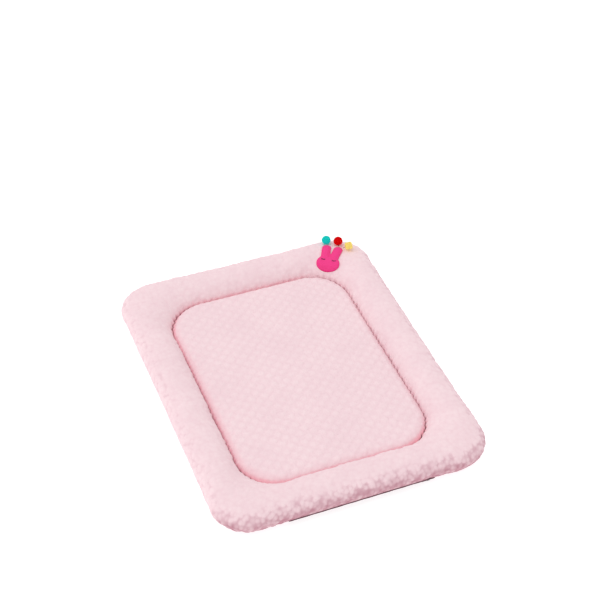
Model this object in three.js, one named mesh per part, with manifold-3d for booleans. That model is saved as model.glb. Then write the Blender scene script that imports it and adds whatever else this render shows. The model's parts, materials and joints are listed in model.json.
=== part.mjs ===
// A baby's changing pad: a sewn plush pad with a raised, fibre-filled rim around an inset foam mat.
// The cover has a zip low on its front wall, and a felt rabbit badge with three pompoms is sewn over
// the rim at the back right corner.
//
// Millimetres. +X is to the right, +Y towards the head end and +Z up. The origin is under the middle
// of the pad, on the surface that it rests on.

import * as THREE from 'three';
import { mergeVertices } from 'three/addons/utils/BufferGeometryUtils.js';
import Module from 'manifold-3d';

// ---------------------------------------------------------------- driving dimensions

// Plan. An inset is measured from the pad's outermost line towards its middle.
const PAD_WIDTH = 560;
const PAD_LENGTH = 700;
const PAD_CORNER = 72;
const CREASE_INSET = 82;
const CREASE_CORNER = 80;
const CORNER_STEPS = 8;
const ROUND_STEPS = 12;

// The rim's cross-section.
const RIM_HEIGHT = 56;
const RIM_TOP_INSET = 38;
const EQUATOR_HEIGHT = 27;
const CREASE_HEIGHT = 20;
const RIM_FOOT_INSET = 17;
const RIM_FOOT_HEIGHT = 1.8;
const FILLING_FOOT_INSET = 20.7;
const FILLING_SHOULDER = [2.08, 19.5];
const DOME_STEPS = 6;
const PLUSH = 2;
const CASE_CLOTH = 0.8;
const GAP = 0.4;

// The inset mat.
const MAT_INSET = 85.8;
const MAT_HEIGHT = 33;
const MAT_EDGE_RADIUS = 14;
const MAT_EDGE_STEPS = 4;
const LINER = 0.6;
const BASE_CLOTH = 1.5;
const MAT_SEAM_HEIGHT = [14, 16];
const BINDING_INSET = [13.9, 16.6];
const BINDING_HEIGHT = [0.3, 1.7];

// The zip. Its frame is X along the pad, Y up the wall and Z out of the wall.
const ZIP_INSET = 7.5;
const ZIP_HEIGHT = 9.5;
const ZIP_WALL = new THREE.Vector2(0.6, 0.8);
const ZIP_WALL_HALF = 7;
const SLOT_LENGTH = 300;
const SLOT_WIDTH = 9;
const CHAIN_LENGTH = 290;
const CHAIN_GAP = 1.4;
const COIL_WIDTH = 1.3;
const COIL_TOP = -0.2;
const COIL_THICKNESS = 1.8;
const TAPE_EDGE = 6.3;
const TAPE_THICKNESS = 0.6;
const STOP_HALF_WIDTH = 2.2;
const STOP_RISE = 0.6;
const BOTTOM_STOP_LENGTH = 2.5;
const TOP_STOP_LENGTH = 2;
const SLIDER_LENGTH = 11;
const SLIDER_WIDTH = 7.6;
const OUTER_PLATE = [0.1, 1.1];
const INNER_PLATE_THICKNESS = 0.9;
const WEDGE_X = [2, 5];
const WEDGE_HALF_WIDTH = 0.4;
const ARCH_HALF_LENGTH = 2.6;
const ARCH_HALF_WIDTH = 0.9;
const ARCH_FOOT = 1;
const ARCH_BAR = 0.6;
const ARCH_TOP = 3.1;
const JOIN = 0.5;
const CLOSED_SLIDER_X = 137;
const PULL_REACH = 12.5;
const PULL_HALF_WIDTH = 2.6;
const PULL_ARM = 0.9;
const PULL_SHOULDER = 4;
const PULL_THICKNESS = 0.9;
const PULL_AXIS_HEIGHT = 1.8;

// The rabbit badge, in its own plan: X to the rabbit's right as seen, Y towards its ears.
const BADGE_X = 181;
const BADGE_Y = 265;
const BADGE_TURN = THREE.MathUtils.degToRad(-36);
const HEAD_HALF_WIDTH = 25;
const HEAD_HALF_HEIGHT = 18.5;
const HEAD_CENTRE_Y = 1.5;
const EAR_RADIUS = 8.7;
const EAR_ROOT = new THREE.Vector2(9.5, 10);
const EAR_END = new THREE.Vector2(15, 40.5);
const EYE_X = 11.8;
const EYE_Y = 6.5;
const EYE_HALF_WIDTH = 3.6;
const EYE_SAG = 1.2;
const EYE_THREAD = 1;
const EYE_STEPS = 10;
const FELT = 1.5;
const WADDING = 2;
const BADGE_SEAM = 3.6;

// The pompoms, from left to right.
const POMPOM_RADIUS = 9;
const POMPOM_LIFT = 10;
const POMPOM_THREAD = 1;
const POMPOM_SIDES = 16;
const POMPOM_RINGS = 12;
const POMPOMS = [
  { name: 'teal', x: 202, y: 326, ear: -1 },
  { name: 'red', x: 225, y: 313, ear: 1 },
  { name: 'yellow', x: 240, y: 289, ear: 1 },
];

// ---------------------------------------------------------------- finishes

const FINISHES = {
  plush: { color: 0xf8dde3, roughness: 0.95 },
  lining: { color: 0xf4f1ee, roughness: 0.9 },
  fibre: { color: 0xfbfaf6, roughness: 1 },
  baseCloth: { color: 0xf1e9ea, roughness: 0.9 },
  binding: { color: 0xf3ccd5, roughness: 0.9 },
  linerFilm: { color: 0xe9eef2, roughness: 0.4 },
  foam: { color: 0xf6efd9, roughness: 1 },
  seamThread: { color: 0xe9b8c1, roughness: 0.8 },
  zipTape: { color: 0xcfa9b3, roughness: 0.85 },
  zipCoil: { color: 0x9a7f86, roughness: 0.5 },
  zipMetal: { color: 0xb9b4b6, roughness: 0.35, metalness: 0.8 },
  felt: { color: 0xf9498d, roughness: 1 },
  eyeThread: { color: 0xa8206a, roughness: 0.8 },
  darkThread: { color: 0x5a3440, roughness: 0.8 },
  teal: { color: 0x1cc4bd, roughness: 1 },
  red: { color: 0xc80a10, roughness: 1 },
  yellow: { color: 0xf2d766, roughness: 1 },
};

const pad = new THREE.Group();
const wasm = await Module();
wasm.setup();

// ---------------------------------------------------------------- helpers

// Adds one named sub-part, with a material of its own.
function addPiece(name, geometry, finish, parent = pad) {
  const mesh = new THREE.Mesh(geometry, new THREE.MeshStandardMaterial(FINISHES[finish]));
  mesh.name = name;
  parent.add(mesh);
  return mesh;
}

// A solid for cutting and joining, with its shared vertices merged.
function toSolid(geometry) {
  const bare = geometry.clone();
  bare.deleteAttribute('normal');
  bare.deleteAttribute('uv');
  const merged = mergeVertices(bare, 1e-4);
  const vertProperties = new Float32Array(merged.attributes.position.array);
  const triVerts = new Uint32Array(merged.index.array);
  return new wasm.Manifold(new wasm.Mesh({ numProp: 3, vertProperties, triVerts }));
}

function toGeometry(solid) {
  const { vertProperties, triVerts } = solid.getMesh();
  const geometry = new THREE.BufferGeometry();
  geometry.setAttribute('position', new THREE.BufferAttribute(vertProperties, 3));
  geometry.setIndex(new THREE.BufferAttribute(triVerts, 1));
  geometry.computeVertexNormals();
  return geometry;
}

// A box between two corners.
function block(low, high) {
  const size = high.map((value, axis) => value - low[axis]);
  const middle = high.map((value, axis) => (value + low[axis]) / 2);
  return new THREE.BoxGeometry(...size).translate(...middle);
}

// One turn round the pad at an inset: a rectangle with round corners.
function planRing(inset) {
  const radius = THREE.MathUtils.mapLinear(inset, 0, CREASE_INSET, PAD_CORNER, CREASE_CORNER);
  const centreX = PAD_WIDTH / 2 - inset - radius;
  const centreY = PAD_LENGTH / 2 - inset - radius;
  const sides = [[1, 1], [-1, 1], [-1, -1], [1, -1]];
  return sides.flatMap(([sideX, sideY], quarter) => (
    Array.from({ length: CORNER_STEPS + 1 }, (_, step) => {
      const angle = (quarter + step / CORNER_STEPS) * Math.PI / 2;
      return [sideX * centreX + radius * Math.cos(angle), sideY * centreY + radius * Math.sin(angle)];
    })
  ));
}

// Joins turns at the given [inset, height] pairs with bands of faces. A closed loft is a ring whose
// last turn meets its first. An open one has a flat panel across its first turn, facing down, and
// across its last, facing up.
function loft(section, closed) {
  const rings = section.map(([inset, height]) => planRing(inset).map(([x, y]) => [x, y, height]));
  const count = rings[0].length;
  const positions = rings.flat();
  const triangles = [];
  const bands = closed ? rings.length : rings.length - 1;
  for (let band = 0; band < bands; band += 1) {
    const here = band * count;
    const there = ((band + 1) % rings.length) * count;
    for (let step = 0; step < count; step += 1) {
      const next = (step + 1) % count;
      triangles.push(here + step, here + next, there + next);
      triangles.push(here + step, there + next, there + step);
    }
  }
  if (!closed) {
    const last = (rings.length - 1) * count;
    const firstCentre = positions.push([0, 0, section.at(0)[1]]) - 1;
    const lastCentre = positions.push([0, 0, section.at(-1)[1]]) - 1;
    for (let step = 0; step < count; step += 1) {
      const next = (step + 1) % count;
      triangles.push(firstCentre, next, step);
      triangles.push(lastCentre, last + step, last + next);
    }
  }
  const geometry = new THREE.BufferGeometry();
  geometry.setAttribute('position', new THREE.Float32BufferAttribute(positions.flat(), 3));
  geometry.setIndex(triangles);
  geometry.computeVertexNormals();
  return geometry;
}

// ---------------------------------------------------------------- the rim's cross-section

// From the equator over the top and down to the crease, as [inset, height] points.
function domeProfile() {
  const points = [];
  for (let step = 0; step <= DOME_STEPS; step += 1) {
    const angle = (step / DOME_STEPS) * Math.PI / 2;
    const rise = (RIM_HEIGHT - EQUATOR_HEIGHT) * Math.sin(angle);
    points.push([RIM_TOP_INSET * (1 - Math.cos(angle)), EQUATOR_HEIGHT + rise]);
  }
  for (let step = 1; step <= DOME_STEPS; step += 1) {
    const angle = (step / DOME_STEPS) * Math.PI / 2;
    const fall = (RIM_HEIGHT - CREASE_HEIGHT) * Math.cos(angle);
    points.push([RIM_TOP_INSET + (CREASE_INSET - RIM_TOP_INSET) * Math.sin(angle), CREASE_HEIGHT + fall]);
  }
  return points;
}

// The cover's outside, from its foot up the flat wall that holds the zip to the crease's bottom.
function coverProfile() {
  const alongInset = ZIP_WALL.x * ZIP_WALL_HALF;
  const alongHeight = ZIP_WALL.y * ZIP_WALL_HALF;
  return [
    [RIM_FOOT_INSET, RIM_FOOT_HEIGHT],
    [ZIP_INSET + alongInset, ZIP_HEIGHT - alongHeight],
    [ZIP_INSET - alongInset, ZIP_HEIGHT + alongHeight],
    ...domeProfile(),
    [CREASE_INSET, RIM_FOOT_HEIGHT],
  ];
}

// The filling's outline: the cover's, with its lower outer corner drawn in behind the zip.
function coreProfile() {
  return [
    [FILLING_FOOT_INSET, RIM_FOOT_HEIGHT],
    FILLING_SHOULDER,
    ...domeProfile(),
    [CREASE_INSET, RIM_FOOT_HEIGHT],
  ];
}

// A ring of rectangular section between two insets and two heights.
function squareRing([outer, inner], [low, high]) {
  return loft([[inner, low], [outer, low], [outer, high], [inner, high]], true);
}

// Moves an open profile into the rim by a depth, and slides its ends along to the foot's height.
function inwards(profile, depth, foot = RIM_FOOT_HEIGHT) {
  const points = profile.map(([inset, height]) => new THREE.Vector2(inset, height));
  const normals = points.slice(1).map((end, index) => {
    const run = end.clone().sub(points[index]).normalize();
    return new THREE.Vector2(run.y, -run.x);
  });
  const moved = points.map((point, index) => {
    const before = normals[Math.max(index - 1, 0)];
    const after = normals[Math.min(index, normals.length - 1)];
    const mitre = before.clone().add(after).divideScalar(1 + before.dot(after));
    return point.clone().addScaledVector(mitre, depth);
  });
  const slide = (end, neighbour) => end.lerp(neighbour, (foot - end.y) / (neighbour.y - end.y));
  slide(moved.at(0), moved.at(1));
  slide(moved.at(-1), moved.at(-2));
  return moved.map((point) => [point.x, point.y]);
}

// A cloth ring between two depths inside a profile, open underneath.
function clothRing(profile, outerDepth, innerDepth) {
  return loft([...inwards(profile, outerDepth), ...inwards(profile, innerDepth).reverse()], true);
}

// ---------------------------------------------------------------- rim and base

// The slot in the cover's front wall that the zip closes, in the zip's frame.
const zipSlot = toSolid(block(
  [-SLOT_LENGTH / 2, -SLOT_WIDTH / 2, -2 * PLUSH],
  [SLOT_LENGTH / 2, SLOT_WIDTH / 2, 2 * PLUSH],
));

// Everything of the zip hangs on this group, on the flat part of the front wall.
const zip = new THREE.Group();
zip.position.set(0, -(PAD_LENGTH / 2 - ZIP_INSET), ZIP_HEIGHT);
zip.rotation.x = Math.PI - Math.atan2(ZIP_WALL.y, ZIP_WALL.x);
zip.updateMatrix();
pad.add(zip);

function rimCover() {
  const cloth = toSolid(clothRing(coverProfile(), 0, PLUSH));
  return toGeometry(cloth.subtract(zipSlot.transform(zip.matrix.toArray())));
}

function rimFilling(depth) {
  return loft(inwards(coreProfile(), depth), true);
}

const caseDepth = PLUSH + GAP;
const fillingDepth = caseDepth + CASE_CLOTH + GAP;

addPiece('rim_cover', rimCover(), 'plush');
addPiece('rim_filling_case', clothRing(coreProfile(), caseDepth, caseDepth + CASE_CLOTH), 'lining');
addPiece('rim_filling', rimFilling(fillingDepth), 'fibre');

// The base cloth, and the binding tape sewn round its edge.
const baseInset = RIM_FOOT_INSET + GAP;
addPiece('base_panel', loft([[baseInset, 0], [baseInset, BASE_CLOTH]], false), 'baseCloth');
addPiece('base_seam_binding', squareRing(BINDING_INSET, BINDING_HEIGHT), 'binding');

// ---------------------------------------------------------------- the inset mat

// One skin of the mat at a depth below its surface, from its foot up and over its rounded edge.
function matSkin(depth) {
  const points = [[MAT_INSET + depth, RIM_FOOT_HEIGHT]];
  for (let step = 0; step <= MAT_EDGE_STEPS; step += 1) {
    const angle = (step / MAT_EDGE_STEPS) * Math.PI / 2;
    const radius = MAT_EDGE_RADIUS - depth;
    const inset = MAT_INSET + MAT_EDGE_RADIUS - radius * Math.cos(angle);
    points.push([inset, MAT_HEIGHT - MAT_EDGE_RADIUS + radius * Math.sin(angle)]);
  }
  return points;
}

// A cloth laid over the mat between two depths, open underneath.
function matCloth(outerDepth, innerDepth) {
  return loft([...matSkin(innerDepth).reverse(), ...matSkin(outerDepth)], false);
}

const linerDepth = PLUSH + GAP;
const foamDepth = linerDepth + LINER + GAP;

addPiece('mat_cover', matCloth(0, PLUSH), 'plush');
addPiece('waterproof_liner', matCloth(linerDepth, linerDepth + LINER), 'linerFilm');
addPiece('mat_foam', loft(matSkin(foamDepth), false), 'foam');

// The line of sewing that holds the mat's cover to the rim's, deep in the crease.
const matSeam = squareRing([CREASE_INSET + GAP, MAT_INSET - GAP], MAT_SEAM_HEIGHT);
addPiece('mat_seam_thread', matSeam, 'seamThread');

// ---------------------------------------------------------------- the zip

const coilBottom = COIL_TOP - COIL_THICKNESS;
const tapeTop = coilBottom - GAP;
const tapeBottom = tapeTop - TAPE_THICKNESS;
const innerPlateTop = tapeBottom - GAP;
const archInside = ARCH_TOP - ARCH_BAR;

// From the gap between the coils out to a distance, above the parting line (side 1) or below (-1).
function halfSpan(side, reach) {
  return [side * CHAIN_GAP / 2, side * reach].sort((a, b) => a - b);
}

function joinAll(geometries) {
  return toGeometry(geometries.map(toSolid).reduce((joined, part) => joined.add(part)));
}

// Half of the zip: a tape behind the slot, a coil in it, and the stop at the coil's closed end.
function addZipHalf(name, side) {
  const [tapeLow, tapeHigh] = halfSpan(side, TAPE_EDGE);
  const [coilLow, coilHigh] = halfSpan(side, CHAIN_GAP / 2 + COIL_WIDTH);
  const [stopLow, stopHigh] = halfSpan(side, STOP_HALF_WIDTH);
  const slotEnd = SLOT_LENGTH / 2;
  const coilEnd = CHAIN_LENGTH / 2;
  const stopStart = coilEnd + GAP;
  const tape = block([-slotEnd, tapeLow, tapeBottom], [slotEnd, tapeHigh, tapeTop]);
  const coil = block([-coilEnd, coilLow, coilBottom], [coilEnd, coilHigh, COIL_TOP]);
  const stop = block(
    [stopStart, stopLow, coilBottom],
    [stopStart + TOP_STOP_LENGTH, stopHigh, COIL_TOP + STOP_RISE],
  );
  addPiece(`zip_tape_${name}`, tape, 'zipTape', zip);
  addPiece(`zip_coil_${name}`, coil, 'zipCoil', zip);
  addPiece(`zip_top_stop_${name}`, stop, 'zipMetal', zip);
}

// The stop that holds both coils together at the far end from the closed slider.
function zipBottomStop() {
  const start = CHAIN_LENGTH / 2 + GAP;
  return block(
    [-start - BOTTOM_STOP_LENGTH, -STOP_HALF_WIDTH, coilBottom],
    [-start, STOP_HALF_WIDTH, COIL_TOP + STOP_RISE],
  );
}

// Two plates joined by a wedge between the coils, and a low arch that holds the pull.
function zipSlider() {
  const halfLength = SLIDER_LENGTH / 2;
  const halfWidth = SLIDER_WIDTH / 2;
  const [plateLow, plateTop] = OUTER_PLATE;
  const footInside = ARCH_HALF_LENGTH - ARCH_FOOT;
  return joinAll([
    block([-halfLength, -halfWidth, plateLow], [halfLength, halfWidth, plateTop]),
    block(
      [-halfLength, -halfWidth, innerPlateTop - INNER_PLATE_THICKNESS],
      [halfLength, halfWidth, innerPlateTop],
    ),
    block(
      [WEDGE_X[0], -WEDGE_HALF_WIDTH, innerPlateTop - JOIN],
      [WEDGE_X[1], WEDGE_HALF_WIDTH, plateLow + JOIN],
    ),
    block([-ARCH_HALF_LENGTH, -ARCH_HALF_WIDTH, plateTop - JOIN], [-footInside, ARCH_HALF_WIDTH, ARCH_TOP]),
    block([footInside, -ARCH_HALF_WIDTH, plateTop - JOIN], [ARCH_HALF_LENGTH, ARCH_HALF_WIDTH, ARCH_TOP]),
    block([-ARCH_HALF_LENGTH, -ARCH_HALF_WIDTH, archInside], [ARCH_HALF_LENGTH, ARCH_HALF_WIDTH, ARCH_TOP]),
  ]);
}

// A crossbar under the arch, two arms past it and a round-ended tab, lying back over the closed coils.
function zipPull() {
  const low = PULL_AXIS_HEIGHT - PULL_THICKNESS / 2;
  const high = PULL_AXIS_HEIGHT + PULL_THICKNESS / 2;
  const armInside = PULL_HALF_WIDTH - PULL_ARM;
  const roundEnd = PULL_HALF_WIDTH - PULL_REACH;
  const barLength = 2 * (PULL_HALF_WIDTH - PULL_ARM / 2);
  const tab = new THREE.Shape();
  tab.moveTo(-PULL_SHOULDER, -PULL_HALF_WIDTH);
  tab.lineTo(-PULL_SHOULDER, PULL_HALF_WIDTH);
  tab.lineTo(roundEnd, PULL_HALF_WIDTH);
  tab.absarc(roundEnd, 0, PULL_HALF_WIDTH, Math.PI / 2, 3 * Math.PI / 2);
  const settings = { depth: PULL_THICKNESS, bevelEnabled: false, curveSegments: ROUND_STEPS };
  const bar = new THREE.CylinderGeometry(PULL_THICKNESS / 2, PULL_THICKNESS / 2, barLength, ROUND_STEPS);
  return joinAll([
    new THREE.ExtrudeGeometry(tab, settings).translate(0, 0, low),
    block([-PULL_SHOULDER - JOIN, -PULL_HALF_WIDTH, low], [PULL_THICKNESS / 2, -armInside, high]),
    block([-PULL_SHOULDER - JOIN, armInside, low], [PULL_THICKNESS / 2, PULL_HALF_WIDTH, high]),
    bar.translate(0, 0, PULL_AXIS_HEIGHT),
  ]);
}

addZipHalf('upper', 1);
addZipHalf('lower', -1);
addPiece('zip_bottom_stop', zipBottomStop(), 'zipMetal', zip);
addPiece('zip_slider', zipSlider(), 'zipMetal', zip).position.x = CLOSED_SLIDER_X;
addPiece('zip_pull', zipPull(), 'zipMetal', zip).position.x = CLOSED_SLIDER_X;

// ---------------------------------------------------------------- the rabbit badge

// From the badge's plan to the pad's.
function badgePoint(x, y) {
  const turned = new THREE.Vector2(x, y).rotateAround(new THREE.Vector2(), BADGE_TURN);
  return turned.add(new THREE.Vector2(BADGE_X, BADGE_Y));
}

// The head and two ears as upright columns, drawn in from the badge's edge by an inset.
function rabbitColumn(inset) {
  const head = new THREE.Shape();
  head.absellipse(0, HEAD_CENTRE_Y, HEAD_HALF_WIDTH - inset, HEAD_HALF_HEIGHT - inset, 0, 2 * Math.PI);
  const ears = [-1, 1].map((side) => {
    const root = new THREE.Vector2(side * EAR_ROOT.x, EAR_ROOT.y);
    const end = new THREE.Vector2(side * EAR_END.x, EAR_END.y);
    const across = end.clone().sub(root).angle() - Math.PI / 2;
    const ear = new THREE.Shape();
    ear.absarc(end.x, end.y, EAR_RADIUS - inset, across, across + Math.PI);
    ear.absarc(root.x, root.y, EAR_RADIUS - inset, across + Math.PI, across + 2 * Math.PI);
    return ear;
  });
  const settings = { depth: 2 * RIM_HEIGHT, bevelEnabled: false, curveSegments: ROUND_STEPS };
  const columns = [head, ...ears].map((shape) => {
    const column = new THREE.ExtrudeGeometry(shape, settings);
    column.rotateZ(BADGE_TURN);
    return toSolid(column.translate(BADGE_X, BADGE_Y, CREASE_HEIGHT));
  });
  return columns.reduce((joined, column) => joined.add(column));
}

// The upper rim made thicker by a height, for cutting layers that lie on it.
function raisedRim(height) {
  return toSolid(loft(inwards(domeProfile(), -height, CREASE_HEIGHT), true));
}

// The part of a column between two heights over the rim.
function layer(column, low, high) {
  return column.intersect(raisedRim(high)).subtract(raisedRim(low));
}

const backFeltLow = GAP;
const paddingLow = backFeltLow + FELT + GAP;
const paddingHigh = paddingLow + WADDING;
const frontFeltHigh = paddingHigh + GAP + FELT;

// The front felt is sewn down round its edge and stands up over the wadding.
function frontFelt() {
  const pocket = layer(rabbitColumn(BADGE_SEAM), backFeltLow, paddingHigh + GAP);
  return layer(rabbitColumn(0), paddingLow, frontFeltHigh).subtract(pocket);
}

const backFelt = layer(rabbitColumn(0), backFeltLow, backFeltLow + FELT);
const badgeWadding = layer(rabbitColumn(BADGE_SEAM + GAP), paddingLow, paddingHigh);
addPiece('rabbit_back_felt', toGeometry(backFelt), 'felt');
addPiece('rabbit_wadding', toGeometry(badgeWadding), 'fibre');
const rabbitFront = addPiece('rabbit_front_felt', toGeometry(frontFelt()), 'felt');

// How high a piece's top lies at a point of the pad's plan.
function heightOf(mesh, x, y) {
  const above = new THREE.Vector3(x, y, 4 * RIM_HEIGHT);
  const down = new THREE.Vector3(0, 0, -1);
  return new THREE.Raycaster(above, down).intersectObject(mesh)[0].point.z;
}

// A closed eye: one short arc of thread, its ends higher than its middle, lying on the front felt.
function closedEye(side) {
  const points = [-1, -0.5, 0, 0.5, 1].map((along) => {
    const x = side * EYE_X + along * EYE_HALF_WIDTH;
    const place = badgePoint(x, EYE_Y - EYE_SAG * (1 - along * along));
    const height = heightOf(rabbitFront, place.x, place.y);
    return new THREE.Vector3(place.x, place.y, height + EYE_THREAD);
  });
  return thread(new THREE.CatmullRomCurve3(points), EYE_THREAD, EYE_STEPS);
}

// A thread of round section along a curve.
function thread(curve, diameter, steps) {
  const section = new THREE.Shape();
  section.absarc(0, 0, diameter / 2, 0, 2 * Math.PI);
  return new THREE.ExtrudeGeometry(section, { steps, curveSegments: ROUND_STEPS / 3, extrudePath: curve });
}

addPiece('rabbit_left_eye', closedEye(-1), 'eyeThread');
addPiece('rabbit_right_eye', closedEye(1), 'eyeThread');

// ---------------------------------------------------------------- the pompoms

// Each pompom lies on the rim and hangs by a short thread from the tip of an ear.
function addPompom({ name, x, y, ear }) {
  const rim = pad.getObjectByName('rim_cover');
  const centre = new THREE.Vector3(x, y, heightOf(rim, x, y) + POMPOM_LIFT);
  const ball = new THREE.SphereGeometry(POMPOM_RADIUS, POMPOM_SIDES, POMPOM_RINGS).rotateX(Math.PI / 2);
  addPiece(`${name}_pompom`, ball.translate(...centre), name);
  const tip = badgePoint(ear * EAR_END.x, EAR_END.y);
  const earEnd = new THREE.Vector3(tip.x, tip.y, heightOf(rim, tip.x, tip.y) + paddingHigh);
  const towards = centre.clone().sub(earEnd).normalize();
  const start = earEnd.clone().addScaledVector(towards, EAR_RADIUS + POMPOM_THREAD);
  const end = centre.clone().addScaledVector(towards, -(POMPOM_RADIUS + GAP));
  addPiece(`${name}_pompom_thread`, thread(new THREE.LineCurve3(start, end), POMPOM_THREAD, 1), 'darkThread');
}

POMPOMS.forEach(addPompom);

export default pad;
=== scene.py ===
"""The looks of a baby's changing pad: a stuffed plush rim round a plush mat, with a zip and a rabbit badge.

Everything is in metres and in the CAD frame: +X to the right, +Y towards the head end and +Z up, with
the origin under the middle of the pad. An inset is measured from the pad's outermost line inwards.
"""

import itertools
import json
import math

import bpy
import numpy as np
from mathutils import Matrix, Vector


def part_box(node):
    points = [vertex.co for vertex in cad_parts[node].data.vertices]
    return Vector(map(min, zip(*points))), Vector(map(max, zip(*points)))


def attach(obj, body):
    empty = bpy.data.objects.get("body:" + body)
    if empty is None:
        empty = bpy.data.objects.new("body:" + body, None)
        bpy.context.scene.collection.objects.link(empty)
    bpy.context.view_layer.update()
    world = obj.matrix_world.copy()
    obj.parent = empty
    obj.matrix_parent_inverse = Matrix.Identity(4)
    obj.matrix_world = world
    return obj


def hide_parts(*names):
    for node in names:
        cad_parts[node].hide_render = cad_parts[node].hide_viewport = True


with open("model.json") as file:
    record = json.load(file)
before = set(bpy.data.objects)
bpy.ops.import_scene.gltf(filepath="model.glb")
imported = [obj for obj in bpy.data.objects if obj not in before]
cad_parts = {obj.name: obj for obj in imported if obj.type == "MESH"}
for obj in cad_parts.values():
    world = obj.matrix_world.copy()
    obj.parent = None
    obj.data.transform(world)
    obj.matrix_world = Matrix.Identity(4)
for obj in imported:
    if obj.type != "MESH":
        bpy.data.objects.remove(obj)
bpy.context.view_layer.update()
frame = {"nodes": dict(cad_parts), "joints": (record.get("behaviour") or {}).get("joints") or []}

MM = 0.001

# ------------------------------------------------------------------ sizes that the frame gives

HALF_WIDTH, HALF_LENGTH, RIM_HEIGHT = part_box("rim_cover")[1]
MAT_HALF_WIDTH, MAT_HALF_LENGTH, MAT_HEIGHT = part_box("mat_cover")[1]
MAT_INSET = HALF_WIDTH - MAT_HALF_WIDTH
BASE_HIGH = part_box("base_panel")[1].z

# ------------------------------------------------------------------ the rim's plan and section

PAD_CORNER = 72 * MM
CREASE_INSET = 82 * MM
CREASE_CORNER = 80 * MM
RIM_TOP_INSET = 38 * MM
EQUATOR_HEIGHT = 27 * MM
CREASE_HEIGHT = 20 * MM
FOOT = np.array([17, 1.8]) * MM
UNDERSIDE = np.array([[82, 14], [82, 1.8], [60, 1.8], [38, 1.8]]) * MM
PROFILE_STEP = 0.4 * MM
PROFILE_SOFTNESS = 8
PROFILE_ARC_POINTS = 24
RIM_COLUMN_STEP = 1.75 * MM
RIM_ROW_STEP = 1.6 * MM
PLAN_HALVINGS = 32
TURN_COUNT = 4001
FINE_TURN_COUNT = 20000
RING_TURN_COUNT = 2401

JOIN_X = 139 * MM
JOIN_LAP = 0.3 * MM
JOIN_PINCH = 0.9 * MM
JOIN_REACH = 5 * MM
JOIN_FOOT_REACH = 12 * MM
JOIN_EDGE = math.radians(70)

ZIP_INSET = 7.5 * MM
ZIP_HEIGHT = 9.5 * MM
ZIP_WALL = np.array([0.6, 0.8])
ZIP_WALL_HALF = 7 * MM
ZIP_HELD_FRONT = 0.9
ZIP_HELD_RISE = 1.5
SLOT_HALF_LENGTH = 150 * MM
SLOT_HALF_WIDTH = 4.5 * MM
SLOT_DEPTH = 3.5 * MM
SLOT_EDGE = 0.15 * MM
SLOT_HEM = 13 * MM

# ------------------------------------------------------------------ the mat's plan and section

MAT_SHORT_CELLS = 250
MAT_LONG_CELLS = 340
MAT_EDGE_RADIUS = 14 * MM
MAT_EDGE_POINTS = 12
MAT_WALL_FOOT = 16 * MM
MAT_CROWN = 1.5 * MM
MAT_FULLNESS = 0.6 * MM

# ------------------------------------------------------------------ the plush's lumps and folds

LUMP_PITCH = 14 * MM
PEBBLE_PITCH = 8.5 * MM
MAT_PEBBLE_PITCH = 6 * MM
LUMP_SHARE = 0.45
LUMP_LEVEL = 0.22
PEBBLE_ROLLS = 4093
PEBBLE_STRIDES = np.array([73, 151, 283])
PEBBLE_PLACES = (0.08, 0.92)
PEBBLE_SPREAD = 0.68
PLUSH_DOT_STEP = np.array([14, 12]) * MM
PLUSH_DOT_SPREAD = 8.5 * MM
PLUSH_DOT_SHARE = 0.62
WALL_RELIEF = 2.8 * MM
TOP_RELIEF = 0.9 * MM
MAT_RELIEF = 1.7 * MM
MAT_RELIEF_REACH = np.array([6, 20]) * MM
CREASE_CALM_REACH = 7 * MM
WALL_FOOT_REACH = 30 * MM
CALM_SIDES = 0.35
RIGHT_CORNER_SHARE = 0.4
FACING_SHARE = 0.6
WALL_TILT = (0.01, 0.2)

FOLD_PITCH = 15 * MM
FOLD_DEPTH = 1.6 * MM
FOLD_REACH = 9 * MM
FOLD_START = 3 * MM
WAVE_PITCH = 34 * MM
WAVE_DEPTH = 0.9 * MM
WEAKEST_WAVE = 0.35
RIPPLE_PITCH = 13 * MM
RIPPLE_DEPTH = 1.2 * MM
CREASE_BULGE = 1.2 * MM
CREASE_BULGE_REACH = 5 * MM
MAT_BULGE_START = 3 * MM
MAT_BULGE_END = 12 * MM
# where the crease gapes: it ripples more there, and the plush and the stitch get painted dark shade
GAP_SIDE = np.array([95, 150]) * MM
GAP_FRONT = np.array([-255, -190]) * MM
GAP_REACH = 2.4 * MM
GAP_RIPPLE = 1.1 * MM
MAT_GAP_REACH = 4.5 * MM

# ------------------------------------------------------------------ the plush's tones: painted shade

# how much of the painted shade between the lumps is kept on the rim's top and on the mat; the walls keep all
# of it
TOP_LUMP_SHADE = 0.5
MAT_LUMP_SHADE = 0.5
# painted shade low on the walls that face away from the light, and at their foot
LOW_SHADE_TINT = 0.6
LOW_TILT = (0.08, 0.95)
LOW_SHARES = (0.55, 1.0)
FOOT_SHADE_TINT = 0.5
FOOT_REACH = np.array([32, 12]) * MM
# a dark band painted on the plush in and round the zip's slot
SLOT_BAND_REACH = 1.5 * MM
# painted shade in the crease, on the rim's side and on the mat's edge, wider along the mat's left front
RIM_CREASE_SHADE = 0.95
RIM_CREASE_REACH = 2.5 * MM
MAT_CREASE_SHADE = 0.7
MAT_CREASE_REACH = np.array([9, 15]) * MM
MAT_CREASE_WAVER = 2.5 * MM
MAT_SHADE_TINT = 0.42
MAT_SHADE_REACH = 30 * MM
MAT_SHADE_SIDE = np.array([-120, -185]) * MM
MAT_SHADE_FRONT = np.array([240, 60]) * MM
GAP_ROSE_SHARE = 0.25

# ------------------------------------------------------------------ the cloth simulation

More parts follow.
